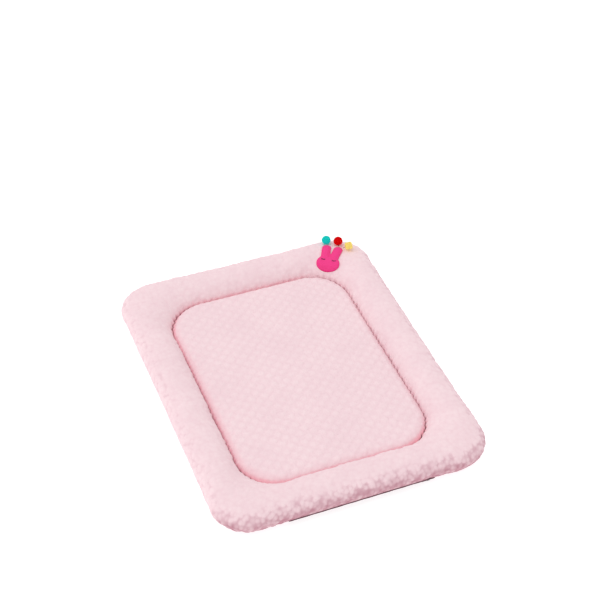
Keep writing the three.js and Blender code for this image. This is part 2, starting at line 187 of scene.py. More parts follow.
CLOTH_FRAMES = 20
CLOTH_SETTINGS = {
    "quality": 6,
    "mass": 0.2,
    "use_pressure": True,
    "uniform_pressure_force": 4,
    "shrink_min": -0.05,
    "tension_stiffness": 12,
    "compression_stiffness": 8,
    "shear_stiffness": 6,
    "bending_stiffness": 0.6,
}
SWELL_COLUMNS = 300
SWELL_ROWS = 21
SWELL_ROOM = 3 * MM
SWELL_CAP = 8 * MM
SWELL_JITTER = 0.5 * MM
SWELL_SHARE = 0.28
SWELL_DIP = 0.9 * MM
SWELL_RISE = 2.4 * MM
MAT_SWELL_RATIO = 5
MAT_SWELL_BORDER = 12 * MM
MAT_SWELL_CAP = 5 * MM
MAT_SWELL_JITTER = 0.8 * MM
MAT_SWELL_SHARE = 0.5

BADGE_CENTRE = np.array([181, 265]) * MM
BADGE_TURN = math.radians(-36)
BADGE_CALM_REACH = 4 * MM
POMPOM_NAMES = ("teal", "red", "yellow")
POMPOM_CALM = 0.6
POMPOM_CALM_REACH = np.array([3, 9]) * MM

SEED = 7
TINY = 1e-9
UPRIGHT = 0.9


# ------------------------------------------------------------------ numbers along lines

def running_length(points):
    """The length along a polyline up to each of its points."""
    steps = np.linalg.norm(np.diff(points, axis=0), axis=1)
    return np.concatenate([[0], np.cumsum(steps)])


def along(points, lengths):
    """Points at given lengths along a polyline."""
    known = running_length(points)
    return np.stack([np.interp(lengths, known, column) for column in points.T], -1)


def evenly(points, spacing):
    """The same polyline with its points evenly spaced."""
    total = running_length(points)[-1]
    return along(points, np.linspace(0, total, math.ceil(total / spacing) + 1))


def soften(points, reach):
    """Rounds a polyline's bends over a reach of points, with its ends held."""
    weights = np.hanning(2 * reach + 3)[1:-1]
    before = 2 * points[0] - points[reach:0:-1]
    after = 2 * points[-1] - points[-2:-reach - 2:-1]
    padded = np.concatenate([before, points, after])
    return np.stack([np.convolve(column, weights / weights.sum(), "valid") for column in padded.T], -1)


def between(knots, spacing):
    """Numbers that rise through every knot in steps of at most a spacing."""
    pieces = [
        np.linspace(low, high, math.ceil((high - low) / spacing), endpoint=False)
        for low, high in zip(knots[:-1], knots[1:])
    ]
    return np.concatenate([*pieces, [knots[-1]]])


def smoothstep(low, high, value):
    """0 at low and 1 at high, with a smooth rise between them."""
    share = np.clip((value - low) / (high - low), 0, 1)
    return share * share * (3 - 2 * share)


def waves(length, total, pitch, seed):
    """A wave round a closed line: bends of about a pitch, each of its own strength, from -1 to 1."""
    count = 2 * round(total / pitch)
    strengths = np.random.default_rng(seed).uniform(WEAKEST_WAVE, 1, count) * np.resize([1, -1], count)
    place = np.mod(length, total) / total * count
    index = np.floor(place).astype(int)
    share = (1 - np.cos((place - index) * np.pi)) / 2
    return strengths[index % count] * (1 - share) + strengths[(index + 1) % count] * share


def cubic_weights(places, count, closed):
    """A matrix that reads smooth values at fractional places in a row of count values."""
    index = np.floor(places).astype(int)
    share = places - index
    parts = [
        (-share + 2 * share**2 - share**3) / 2,
        (2 - 5 * share**2 + 3 * share**3) / 2,
        (share + 4 * share**2 - 3 * share**3) / 2,
        (share**3 - share**2) / 2,
    ]
    matrix = np.zeros((len(places), count))
    for offset, part in zip((-1, 0, 1, 2), parts):
        target = (index + offset) % count if closed else np.clip(index + offset, 0, count - 1)
        np.add.at(matrix, (np.arange(len(places)), target), part)
    return matrix


# ------------------------------------------------------------------ the pad's plan and section

def ring_size(inset):
    """Corner centre and corner radius of the plan's ring at an inset."""
    radius = PAD_CORNER + (CREASE_CORNER - PAD_CORNER) * inset / CREASE_INSET
    return HALF_WIDTH - inset - radius, HALF_LENGTH - inset - radius, radius


def inset_of(x, y):
    """The inset of the plan's ring through each point: a straight side, or the root for a corner's arc."""
    growth = (CREASE_CORNER - PAD_CORNER) / CREASE_INSET
    shift = 1 + growth
    beyond_x = np.abs(x) - (HALF_WIDTH - PAD_CORNER)
    beyond_y = np.abs(y) - (HALF_LENGTH - PAD_CORNER)
    square = 2 * shift**2 - growth**2
    linear = shift * (beyond_x + beyond_y) - PAD_CORNER * growth
    constant = beyond_x**2 + beyond_y**2 - PAD_CORNER**2
    corner = (np.sqrt(np.maximum(linear**2 - square * constant, 0)) - linear) / square
    in_corner = (beyond_x + shift * corner > 0) & (beyond_y + shift * corner > 0)
    side = np.minimum(HALF_WIDTH - np.abs(x), HALF_LENGTH - np.abs(y))
    return np.where(in_corner, corner, side)


def middle_ring(turn):
    """Points of the ring halfway across the rim, and their outward directions.

    A turn runs anticlockwise from 0 to 1 and starts in the middle of the right side.
    """
    centre_x, centre_y, radius = ring_size(CREASE_INSET / 2)
    arc = radius * math.pi / 2
    steps = [centre_y, arc, 2 * centre_x, arc, 2 * centre_y, arc, 2 * centre_x, arc, centre_y]
    ends = np.concatenate([[0], np.cumsum(steps)]) / sum(steps)
    side_x = [1, 1, 1, -1, -1, -1, -1, 1, 1, 1]
    side_y = [0, 1, 1, 1, 1, -1, -1, -1, -1, 0]
    quarters = [0, 0, 1, 1, 2, 2, 3, 3, 4, 4]
    place = np.mod(turn, 1)
    angle = np.interp(place, ends, quarters) * math.pi / 2
    outward = np.stack([np.cos(angle), np.sin(angle)], -1)
    base = np.stack([np.interp(place, ends, side_x), np.interp(place, ends, side_y)], -1)
    return base * [centre_x, centre_y] + radius * outward, outward


def plan_grid(turns, insets):
    """Where the straight line across the rim at each turn meets each inset's ring."""
    middle, outward = middle_ring(turns)
    low = np.full((len(turns), len(insets)), -PAD_CORNER)
    high = -low
    for _ in range(PLAN_HALVINGS):
        reach = (low + high) / 2
        points = middle[:, None] + reach[..., None] * outward[:, None]
        inside = inset_of(points[..., 0], points[..., 1]) > insets
        low = np.where(inside, reach, low)
        high = np.where(inside, high, reach)
    return points


def turn_near(x, y):
    """The turn of the line across the rim that passes nearest a point."""
    turns = np.linspace(0, 1, FINE_TURN_COUNT, endpoint=False)
    return turns[np.argmin(np.linalg.norm(middle_ring(turns)[0] - [x, y], axis=1))]


def crease_place(x, y):
    """The length along the crease of its point nearest each given point, and the crease's whole length."""
    centre_x, centre_y, radius = ring_size(CREASE_INSET)
    base_x = np.clip(x, -centre_x, centre_x)
    base_y = np.clip(y, -centre_y, centre_y)
    angle = np.mod(np.arctan2(y - base_y, x - base_x), 2 * math.pi)
    base = np.select(
        [base_y == centre_y, base_x == -centre_x, base_y == -centre_y],
        [
            centre_y + centre_x - base_x,
            2 * (centre_x + centre_y) - base_y,
            3 * (centre_x + centre_y) + base_x,
        ],
        base_y,
    )
    return base + radius * angle, 4 * (centre_x + centre_y) + 2 * math.pi * radius


def rim_profile():
    """The rim's outside as [inset, height] points, from its foot over the top to the crease."""
    wall = np.array([ZIP_INSET, ZIP_HEIGHT])
    run = ZIP_WALL * [-ZIP_WALL_HALF, ZIP_WALL_HALF]
    angles = np.linspace(0, math.pi / 2, PROFILE_ARC_POINTS)
    outer = np.stack([
        RIM_TOP_INSET * (1 - np.cos(angles)),
        EQUATOR_HEIGHT + (RIM_HEIGHT - EQUATOR_HEIGHT) * np.sin(angles),
    ], -1)
    inner = np.stack([
        RIM_TOP_INSET + (CREASE_INSET - RIM_TOP_INSET) * np.sin(angles),
        CREASE_HEIGHT + (RIM_HEIGHT - CREASE_HEIGHT) * np.cos(angles),
    ], -1)
    points = np.concatenate([[FOOT, wall - run, wall + run], outer, inner[1:]])
    return soften(evenly(points, PROFILE_STEP), PROFILE_SOFTNESS)


PROFILE = rim_profile()
PROFILE_LENGTHS = running_length(PROFILE)
PROFILE_TOTAL = PROFILE_LENGTHS[-1]
PROFILE_CREST = PROFILE_LENGTHS[np.argmax(PROFILE[:, 1])]


def length_at_height(height):
    """The profile's length from its foot up to a height on the outer wall."""
    wall = PROFILE_LENGTHS < PROFILE_CREST
    return np.interp(height, PROFILE[wall, 1], PROFILE_LENGTHS[wall])


SLOT_MIDDLE = length_at_height(ZIP_HEIGHT)
SLOT_ROWS = [SLOT_MIDDLE - SLOT_HALF_WIDTH, SLOT_MIDDLE + SLOT_HALF_WIDTH]


def rim_height(x, y):
    """The height of the rim's upper side over plan points."""
    upper = PROFILE_LENGTHS > length_at_height(EQUATOR_HEIGHT)
    return np.interp(inset_of(x, y), PROFILE[upper, 0], PROFILE[upper, 1])


def rim_slope(x, y):
    """How upright the rim's surface normal is over plan points, from 0 to 1."""
    step = MM
    slope_x = (rim_height(x + step, y) - rim_height(x - step, y)) / (2 * step)
    slope_y = (rim_height(x, y + step) - rim_height(x, y - step)) / (2 * step)
    return 1 / np.sqrt(1 + slope_x**2 + slope_y**2)


# ------------------------------------------------------------------ meshes

def make_object(name, points, faces, material, attributes=None):
    """A smooth-shaded mesh object, with a number for each vertex under each attribute's name."""
    mesh = bpy.data.meshes.new(name)
    mesh.from_pydata(np.asarray(points).tolist(), [], faces)
    mesh.polygons.foreach_set("use_smooth", [True] * len(mesh.polygons))
    for title, values in (attributes or {}).items():
        layer = mesh.attributes.new(title, "FLOAT", "POINT")
        layer.data.foreach_set("value", np.asarray(values, np.float32).ravel())
    mesh.materials.append(material)
    mesh.update()
    piece = bpy.data.objects.new(name, mesh)
    bpy.context.scene.collection.objects.link(piece)
    return piece


def grid_faces(columns, rows, closed_columns=False, closed_rows=False):
    """Four-cornered faces of a grid of points that is stored column by column."""
    column = np.arange(columns if closed_columns else columns - 1)[:, None]
    row = np.arange(rows if closed_rows else rows - 1)[None, :]
    next_column = (column + 1) % columns
    next_row = (row + 1) % rows
    corners = [
        column * rows + row,
        next_column * rows + row,
        next_column * rows + next_row,
        column * rows + next_row,
    ]
    return np.stack(np.broadcast_arrays(*corners), -1).reshape(-1, 4)


def grid_normals(grid, closed_columns=False):
    """Unit normals of a grid of points: to the left of its columns' run and up its rows'."""
    if closed_columns:
        across = np.roll(grid, -1, 0) - np.roll(grid, 1, 0)
    else:
        across = np.gradient(grid, axis=0)
    normals = np.cross(across, np.gradient(grid, axis=1))
    return normals / np.maximum(np.linalg.norm(normals, axis=-1, keepdims=True), TINY)


def tube(path, radius, sides=6, closed=False):
    """Points and faces of a round thread along a path. radius is one number, or one for each point."""
    path = np.asarray(path, float)
    count = len(path)
    tangents = np.roll(path, -1, 0) - np.roll(path, 1, 0) if closed else np.gradient(path, axis=0)
    tangents /= np.linalg.norm(tangents, axis=1, keepdims=True)
    side = np.cross(tangents[0], [0, 0, 1] if abs(tangents[0][2]) < UPRIGHT else [1, 0, 0])
    sides_along = []
    for tangent in tangents:
        side = side - tangent * (side @ tangent)
        side /= np.linalg.norm(side)
        sides_along.append(side)
    sides_along = np.array(sides_along)
    lifts = np.cross(tangents, sides_along)
    angles = np.arange(sides) * 2 * math.pi / sides
    radii = np.broadcast_to(np.asarray(radius, float).reshape(-1, 1, 1), (count, 1, 1))
    circle = np.cos(angles)[:, None] * sides_along[:, None] + np.sin(angles)[:, None] * lifts[:, None]
    points = (path[:, None] + radii * circle).reshape(-1, 3)
    faces = grid_faces(count, sides, closed_columns=closed, closed_rows=True).tolist()
    if not closed:
        faces.append(list(range(sides)))
        faces.append(list(range(count * sides - 1, (count - 1) * sides - 1, -1)))
    return points, faces


def joined(parts):
    """Several (points, faces) as one."""
    points = np.concatenate([part_points for part_points, _ in parts])
    faces = []
    start = 0
    for part_points, part_faces in parts:
        faces += [[corner + start for corner in face] for face in part_faces]
        start += len(part_points)
    return points, faces


def swelled(name, grid, faces, pinned, cap, jitter):
    """How far cloth over a stuffed form moves when pressure fills it out, at most a cap at each point.
    """
    start = grid.reshape(-1, 3)
    start = start + np.random.default_rng(SEED).normal(0, jitter, start.shape) * ~pinned.reshape(-1, 1)
    cloth_object = make_object(name, start, faces, None)
    group = cloth_object.vertex_groups.new(name="pinned")
    group.add(np.flatnonzero(pinned.ravel()).tolist(), 1, "REPLACE")
    modifier = cloth_object.modifiers.new("cloth", "CLOTH")
    for title, value in CLOTH_SETTINGS.items():
        setattr(modifier.settings, title, value)
    modifier.settings.vertex_group_mass = group.name
    modifier.settings.effector_weights.gravity = 0
    modifier.point_cache.frame_start = 1
    modifier.point_cache.frame_end = CLOTH_FRAMES
    for step in range(1, CLOTH_FRAMES + 1):
        bpy.context.scene.frame_set(step)
    shape = cloth_object.evaluated_get(bpy.context.evaluated_depsgraph_get()).to_mesh()
    moved = np.zeros(len(shape.vertices) * 3, np.float32)
    shape.vertices.foreach_get("co", moved)
    bpy.data.objects.remove(cloth_object)
    move = moved.reshape(grid.shape) - grid
    size = np.linalg.norm(move, axis=-1, keepdims=True)
    return move * np.minimum(1, cap / np.maximum(size, TINY))


def pebbles(points, pitch, seed):
    """Heights, from 0 to 1, of soft round lumps about a pitch apart, at uneven spots in space."""
    spots = np.random.default_rng(seed).uniform(*PEBBLE_PLACES, (PEBBLE_ROLLS, 3))
    cells = points / pitch
    home = np.floor(cells)
    nearest = np.full(points.shape[:-1], np.inf)
    for step in itertools.product((-1, 0, 1), repeat=3):
        cell = home + step
        roll = (cell @ PEBBLE_STRIDES).astype(int) % PEBBLE_ROLLS
        nearest = np.minimum(nearest, np.linalg.norm(cells - cell - spots[roll], axis=-1))
    return np.clip(1 - (nearest / PEBBLE_SPREAD) ** 2, 0, 1)


def plush_dots(x, y):
    """Heights, from 0 to 1, of round dots in staggered rows over plan points."""
    across, onward = x / PLUSH_DOT_STEP[0], y / PLUSH_DOT_STEP[1]
    forward, back = np.round((across + onward) / 2), np.round((across - onward) / 2)
    away = np.hypot(x - (forward + back) * PLUSH_DOT_STEP[0], y - (forward - back) * PLUSH_DOT_STEP[1])
    return np.clip(1 - (away / PLUSH_DOT_SPREAD) ** 2, 0, 1)


def plush_lumps(points):
    """Large lumps with small pebbles over them, from 0 to 1."""
    large = pebbles(points, LUMP_PITCH, SEED)
    small = pebbles(points, PEBBLE_PITCH, SEED + 1)
    return LUMP_SHARE * large + (1 - LUMP_SHARE) * small


# ------------------------------------------------------------------ materials

FLOOR_GLOW = 0.76
# a painted glow of bounced light in the plush's crease and where it gapes
CREASE_GLOW = 0.28
# a painted glow that lightens the pompoms' wool
WOOL_GLOW = 0.32
PILE_GRAIN = 1500
TUFT_GRAIN = 420


def linear(red, green, blue):
    """A colour given as it shows on a screen, 0 to 255, as the light values that a shader takes."""
    shares = [value / 255 for value in (red, green, blue)]
    return (*(v / 12.92 if v <= 0.04045 else ((v + 0.055) / 1.055) ** 2.4 for v in shares), 1)


BLACK = linear(0, 0, 0)
WHITE = linear(255, 255, 255)
# painted dark shade where the crease gapes
GAP_SHADE_COLOUR = linear(152, 96, 110)
# painted shade in the crease
CREASE_SHADE_COLOUR = linear(231, 166, 177)
# the colour of the painted glow of bounced light in the crease
CREASE_BOUNCE = linear(200, 148, 157)
# a dark band painted on the plush in and round the zip's slot
SLOT_BAND_COLOUR = linear(112, 72, 84)


def connect(tree, socket, value):
    """Links a socket to another node's, or sets it to a value."""
    if isinstance(value, bpy.types.NodeSocket):
        tree.links.new(value, socket)
    else:
        socket.default_value = value


def set_sockets(tree, target, **sockets):
    """Sets or links a node's sockets. A socket's title is given with _ for each space."""
    for title, value in sockets.items():
        connect(tree, target.inputs[title.replace("_", " ")], value)
    return target


def new_material(name):
    """A new material, its node tree and its shader."""
    material = bpy.data.materials.new(name)
    material.use_nodes = True
    return material, material.node_tree, material.node_tree.nodes["Principled BSDF"]


def node(tree, kind, **sockets):
    """A new node with its sockets set."""
    return set_sockets(tree, tree.nodes.new(kind), **sockets)


def place_socket(tree):
    """The object's own coordinates."""
    return tree.nodes.new("ShaderNodeTexCoord").outputs["Object"]


def noise(tree, scale, detail=3, roughness=0.55):
    """A noise texture's value over the object's own coordinates, scale in bumps per metre."""
    sockets = {"Scale": scale, "Detail": detail, "Roughness": roughness}
    return node(tree, "ShaderNodeTexNoise", Vector=place_socket(tree), **sockets).outputs["Fac"]


def bands(tree, direction, scale, distortion):
    """Wavy bands across one direction of the object's own coordinates."""
    made = node(tree, "ShaderNodeTexWave", Vector=place_socket(tree), Scale=scale, Distortion=distortion)
    made.bands_direction = direction
    return made.outputs["Fac"]


def ramp(tree, value, *stops):
    """A colour ramp through (position, colour) stops."""
    made = node(tree, "ShaderNodeValToRGB", Fac=value)
    elements = made.color_ramp.elements
    while len(elements) < len(stops):
        elements.new(0.5)
    for element, (position, colour) in zip(elements, stops):
        element.position = position
        element.color = colour
    return made.outputs["Color"]


MIX_SOCKETS = (0, 6, 7)
MIX_RESULT = 2


def mix(tree, share, first, second):
    """Two colours mixed by a share. The node has a set of sockets for each kind of value it can mix."""
    made = tree.nodes.new("ShaderNodeMix")
    made.data_type = "RGBA"
    for place, value in zip(MIX_SOCKETS, (share, first, second)):
        connect(tree, made.inputs[place], value)
    return made.outputs[MIX_RESULT]


def calculate(tree, operation, *values):
    """A maths node's result."""
    made = tree.nodes.new("ShaderNodeMath")
    made.operation = operation
    for socket, value in zip(made.inputs, values):
        connect(tree, socket, value)
    return made.outputs[0]


def bump(tree, height, distance, strength, **under):
    """A normal raised by a height, over another bump's Normal if that is given."""
    bumped = node(tree, "ShaderNodeBump", Height=height, Distance=distance, Strength=strength, **under)
    return bumped.outputs[0]


def attribute(tree, name):
    """A mesh attribute's value. It is 0 on a mesh that hasn't got it."""
    made = tree.nodes.new("ShaderNodeAttribute")
    made.attribute_name = name
    return made.outputs["Fac"]


def clouded(tree, scale, detail, strength, colour, shade):
    """A colour that drifts towards its shade in soft clouds."""
    return mix(tree, calculate(tree, "MULTIPLY", noise(tree, scale, detail), strength), colour, shade)


def plush_material():
    """Short dense pile with a soft sheen. Painted shade makes it pinker between the lumps, in the crease and
    low on the walls, and darker where the crease gapes; a painted glow of bounced light fills the crease; a
    dark band runs round the zip's slot.
    """
    material, tree, shader = new_material("plush")
    pile = noise(tree, PILE_GRAIN, detail=4)
    crease = attribute(tree, "crease")
    gap_shade = attribute(tree, "gap_shade")
    shaded_valley, slope, tip = linear(214, 168, 180), linear(246, 216, 222), linear(250, 225, 229)
    # painted shade: darker and pinker between the lumps than on them
    colour = ramp(tree, attribute(tree, "relief"), (0.0, shaded_valley), (0.55, slope), (0.9, tip))
    clouds = calculate(tree, "MULTIPLY_ADD", noise(tree, 16, detail=2), 1.1, -0.42)
    colour = mix(tree, clouds, colour, linear(237, 205, 213))
    colour = clouded(tree, 45, 3, 0.25, colour, linear(247, 214, 221))
    colour = mix(tree, calculate(tree, "MULTIPLY", pile, 0.25), colour, linear(252, 233, 236))
    # painted shade in the crease
    colour = mix(tree, crease, colour, CREASE_SHADE_COLOUR)
    # painted dark shade where the crease gapes
    colour = mix(tree, gap_shade, colour, GAP_SHADE_COLOUR)
    # painted shade low on the walls that face away from the light
    colour = mix(tree, attribute(tree, "low"), colour, linear(188, 132, 146))
    # a dark band painted in and round the zip's slot
    colour = mix(tree, attribute(tree, "slot_band"), colour, SLOT_BAND_COLOUR)
    # a painted glow of bounced light in the crease and where it gapes
    glowing = calculate(tree, "MAXIMUM", calculate(tree, "POWER", crease, 1.5), gap_shade)
    tufts = bump(tree, noise(tree, TUFT_GRAIN, detail=4), 0.5 * MM, 0.5)
    set_sockets(
        tree, shader,
        Base_Color=colour,
        Roughness=1.0,
        Specular_IOR_Level=0.15,
        Sheen_Weight=0.2,
        Sheen_Roughness=0.45,
        Sheen_Tint=linear(255, 244, 246),
        Emission_Color=mix(tree, glowing, BLACK, CREASE_BOUNCE),
        Emission_Strength=CREASE_GLOW,
        Normal=bump(tree, pile, 0.25 * MM, 0.5, Normal=tufts),
    )
    return material


def felt_material(name, colour, shade):
    """Pressed wool felt: a matted surface with short stray fibres."""
    material, tree, shader = new_material(name)
    matted = noise(tree, 700, detail=5, roughness=0.7)
    base = ramp(tree, matted, (0.3, shade), (0.7, colour))
    coarse = bump(tree, noise(tree, 90), 0.4 * MM, 0.5)
    set_sockets(
        tree, shader,
        Base_Color=clouded(tree, 90, 3, 0.35, base, shade),
        Roughness=0.95,
        Specular_IOR_Level=0.2,
        Sheen_Weight=0.35,
        Sheen_Roughness=0.4,
        Sheen_Tint=colour,
        Normal=bump(tree, matted, 0.3 * MM, 0.8, Normal=coarse),
    )
    return material


def woven_material(name, colour, shade, threads):
    """Plain-weave cloth: crossed threads, a little uneven in colour."""
    material, tree, shader = new_material(name)
    weave = calculate(tree, "MAXIMUM", bands(tree, "X", threads, 1.2), bands(tree, "Y", threads, 1.2))
    base = ramp(tree, weave, (0.1, shade), (0.8, colour))
    set_sockets(
        tree, shader,
        Base_Color=clouded(tree, 35, 4, 0.4, base, shade),
        Roughness=0.85,
        Sheen_Weight=0.15,
        Normal=bump(tree, weave, 0.15 * MM, 0.6),
    )
    return material


def thread_material(name, colour, shade):
    """Twisted sewing thread: fine slanting plies with a faint gloss, and painted dark shade where the crease
    gapes.
    """
    material, tree, shader = new_material(name)
    plies = bands(tree, "DIAGONAL", 1400, 3)
    base = ramp(tree, plies, (0.2, shade), (0.8, colour))
    set_sockets(
        tree, shader,
        # painted dark shade on the thread where the crease gapes
        Base_Color=mix(tree, attribute(tree, "gap_shade"), base, GAP_SHADE_COLOUR),
        Roughness=0.6,
        Sheen_Weight=0.2,
        Normal=bump(tree, plies, 0.1 * MM, 0.7),
    )
    return material


def wool_material(name, colour, shade):
    """Trimmed pompom wool, fuzzy over all, with painted shade where the strands part and a painted glow all
    over.
    """
    material, tree, shader = new_material(name)
    strands = noise(tree, 1100, detail=4, roughness=0.7)
    base = ramp(tree, strands, (0.25, shade), (0.65, colour))
    set_sockets(
        tree, shader,
        # painted shade where the strands part, darkest at their roots and on the core
        Base_Color=mix(tree, attribute(tree, "depth_shade"), base, shade),
        Roughness=1.0,
        Specular_IOR_Level=0.1,
        Sheen_Weight=0.3,
        Sheen_Roughness=0.5,
        Sheen_Tint=colour,
        # a painted glow over all the wool
        Emission_Color=colour,
        Emission_Strength=WOOL_GLOW,
        Normal=bump(tree, strands, 0.3 * MM, 0.6),
    )
    return material


def foam_material(name, colour, shade, cell):
    """Open cells or loose fibre: pits of about a cell's size."""
    material, tree, shader = new_material(name)
    cells = node(tree, "ShaderNodeTexVoronoi", Vector=place_socket(tree), Scale=1 / cell).outputs["Distance"]
    base = ramp(tree, cells, (0.1, shade), (0.6, colour))
    set_sockets(
        tree, shader,
        Base_Color=clouded(tree, 40, 4, 0.3, base, shade),
        Roughness=1.0,
        Normal=bump(tree, cells, cell / 3, 0.7),
    )
    return material


def mottled_material(name, colour, shade, grain, roughness, relief, metallic=0.0, dark_share=0.3):
    """A smooth surface that one noise makes a little uneven in colour, height and gloss.

    grain is the noise's scale, detail and roughness, roughness is the surface's least and its spread, and
    relief is the bump's distance and strength.
    """
    material, tree, shader = new_material(name)
    mottle = noise(tree, *grain)
    least, spread = roughness
    set_sockets(
        tree, shader,
        Base_Color=ramp(tree, mottle, (dark_share, shade), (0.7, colour)),
        Roughness=calculate(tree, "MULTIPLY_ADD", mottle, spread, least) if spread else least,
        Metallic=metallic,
        Normal=bump(tree, mottle, *relief),
    )
    return material


def floor_material():
    """A plain pale floor, with a trace of grain."""
    material, tree, shader = new_material("floor")
    set_sockets(
        tree, shader,
        Base_Color=ramp(
            tree, noise(tree, 9, detail=2), (0.3, (0.5, 0.5, 0.5, 1)), (0.7, (0.52, 0.52, 0.52, 1)),
        ),
        Roughness=0.9,
        Specular_IOR_Level=0.0,
        Emission_Color=WHITE,
        Emission_Strength=FLOOR_GLOW,
    )
    return material


FINISHES = {
    "plush": plush_material(),
    "lining": woven_material("lining", linear(244, 241, 238), linear(222, 217, 213), 900),
    "fibre": foam_material("fibre", linear(251, 250, 246), linear(226, 224, 218), 3 * MM),
    "base_cloth": woven_material("base_cloth", linear(241, 233, 234), linear(222, 208, 211), 700),
    "binding": woven_material("binding", linear(243, 204, 213), linear(222, 172, 184), 1200),
    "liner_film": mottled_material(
        "liner_film", linear(236, 240, 243), linear(222, 228, 234),
        (160, 5, 0.65), (0.3, 0.2), (0.4 * MM, 0.5),
    ),
    "foam": foam_material("foam", linear(246, 239, 217), linear(220, 208, 176), 0.9 * MM),
    "seam_thread": thread_material("seam_thread", linear(233, 184, 193), linear(205, 148, 160)),
    "zip_tape": woven_material("zip_tape", linear(122, 84, 94), linear(88, 56, 66), 1500),
    "zip_coil": mottled_material(
        "zip_coil", linear(102, 70, 80), linear(78, 50, 58), (600, 3), (0.42, 0), (0.05 * MM, 0.4),
    ),
    "zip_metal": mottled_material(
        "zip_metal", linear(206, 200, 202), linear(168, 158, 162),
        (900, 5, 0.7), (0.22, 0.25), (0.05 * MM, 0.4),
        metallic=0.9, dark_share=0.35,
    ),
    "pink_felt": felt_material("pink_felt", linear(255, 80, 155), linear(240, 58, 132)),
    "eye_thread": thread_material("eye_thread", linear(140, 18, 82), linear(84, 6, 44)),
    "teal_wool": wool_material("teal_wool", linear(30, 214, 206), linear(8, 168, 164)),
    "red_wool": wool_material("red_wool", linear(226, 8, 10), linear(164, 0, 6)),
    "yellow_wool": wool_material("yellow_wool", linear(242, 224, 134), linear(224, 198, 100)),
    "pink_thread": thread_material("pink_thread", linear(248, 66, 142), linear(228, 44, 118)),
    "grip": mottled_material(
        "grip", linear(238, 230, 231), linear(224, 214, 216), (500, 3), (0.5, 0), (0.05 * MM, 0.4),
    ),
    "dark_thread": thread_material("dark_thread", linear(110, 62, 78), linear(62, 30, 42)),
}


def finished(piece, slot, body, *replaced):
    """A new piece rides on its body and stands for the CAD nodes it replaces. slot, its finish's name, is
    not used.
    """
    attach(piece, body)
    if replaced:
        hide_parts(*replaced)


# ------------------------------------------------------------------ the rabbit badge's outline

HEAD_HALF = np.array([25.2, 15.6]) * MM
HEAD_CENTRE_Y = 2.6 * MM
HEAD_SQUARENESS = 2.35
CHIN_SPREAD = 0.09
EAR_RADIUS = 9.8 * MM
EAR_ROOT = np.array([8.8, 9]) * MM
EAR_END = np.array([12.8, 41.5]) * MM
EAR_FILLET = 3.5 * MM


def badge_plan(x, y):
    """From the badge's own plan, Y towards its ears, to the pad's plan."""
    cos, sin = math.cos(BADGE_TURN), math.sin(BADGE_TURN)
    return BADGE_CENTRE[0] + x * cos - y * sin, BADGE_CENTRE[1] + x * sin + y * cos


def blended_union(first, second, reach):
    """The smaller of two distances, rounded where they are close."""
    share = np.clip(0.5 + (second - first) / (2 * reach), 0, 1)
    return second * (1 - share) + first * share - reach * share * (1 - share)


def badge_distance(x, y):
    """Distance outwards from the badge's outline at points of the pad's plan, below 0 inside."""
    cos, sin = math.cos(BADGE_TURN), math.sin(BADGE_TURN)
    shifted_x, shifted_y = x - BADGE_CENTRE[0], y - BADGE_CENTRE[1]
    own_x = shifted_x * cos + shifted_y * sin
    own_y = shifted_y * cos - shifted_x * sin
    head_y = (own_y - HEAD_CENTRE_Y) / HEAD_HALF[1]
    head_x = own_x / (HEAD_HALF[0] * (1 - CHIN_SPREAD * np.clip(head_y, -1, 1)))
    power = HEAD_SQUARENESS
    ratio = np.maximum((np.abs(head_x) ** power + np.abs(head_y) ** power) ** (1 / power), TINY)
    head = np.hypot(own_x, own_y - HEAD_CENTRE_Y) * (1 - 1 / ratio)
    head = np.maximum(head, -HEAD_HALF[1])
    distance = head
    for side in (-1, 1):
        root = EAR_ROOT * [side, 1]
        run = EAR_END * [side, 1] - root
        share = np.clip(((own_x - root[0]) * run[0] + (own_y - root[1]) * run[1]) / (run @ run), 0, 1)
        ear = np.hypot(own_x - root[0] - share * run[0], own_y - root[1] - share * run[1]) - EAR_RADIUS
        distance = blended_union(distance, ear, EAR_FILLET)
    return distance


# ------------------------------------------------------------------ the plush rim

def rim_surface(turns, lengths):
    """The rim's calm outside, before swelling, lumps and folds, as a grid of turns and profile lengths."""
    profile = along(PROFILE, lengths)
    plan = plan_grid(turns, profile[:, 0])
    heights = np.broadcast_to(profile[:, 1], plan.shape[:2])
    return np.concatenate([plan, heights[..., None]], -1)


def even_turns():
    """Turns, and the length along the outer wall that each one is at."""
    turns = np.linspace(0, 1, TURN_COUNT)
    outer_wall = plan_grid(turns, np.array([ZIP_INSET]))[:, 0]
    return turns, running_length(outer_wall)


TURNS, TURN_LENGTHS = even_turns()
TURNS_TWICE = np.concatenate([TURNS[:-1], TURNS + 1])
LENGTHS_TWICE = np.concatenate([TURN_LENGTHS[:-1], TURN_LENGTHS + TURN_LENGTHS[-1]])


def near_zip(points):
    """True near the zip, where the cloth is held."""
    front = points[..., 1] < -HALF_LENGTH * ZIP_HELD_FRONT
    held = points[..., 2] < ZIP_HEIGHT + ZIP_WALL_HALF * ZIP_HELD_RISE
    return front & held & (np.abs(points[..., 0]) < SLOT_HALF_LENGTH + SLOT_HEM)


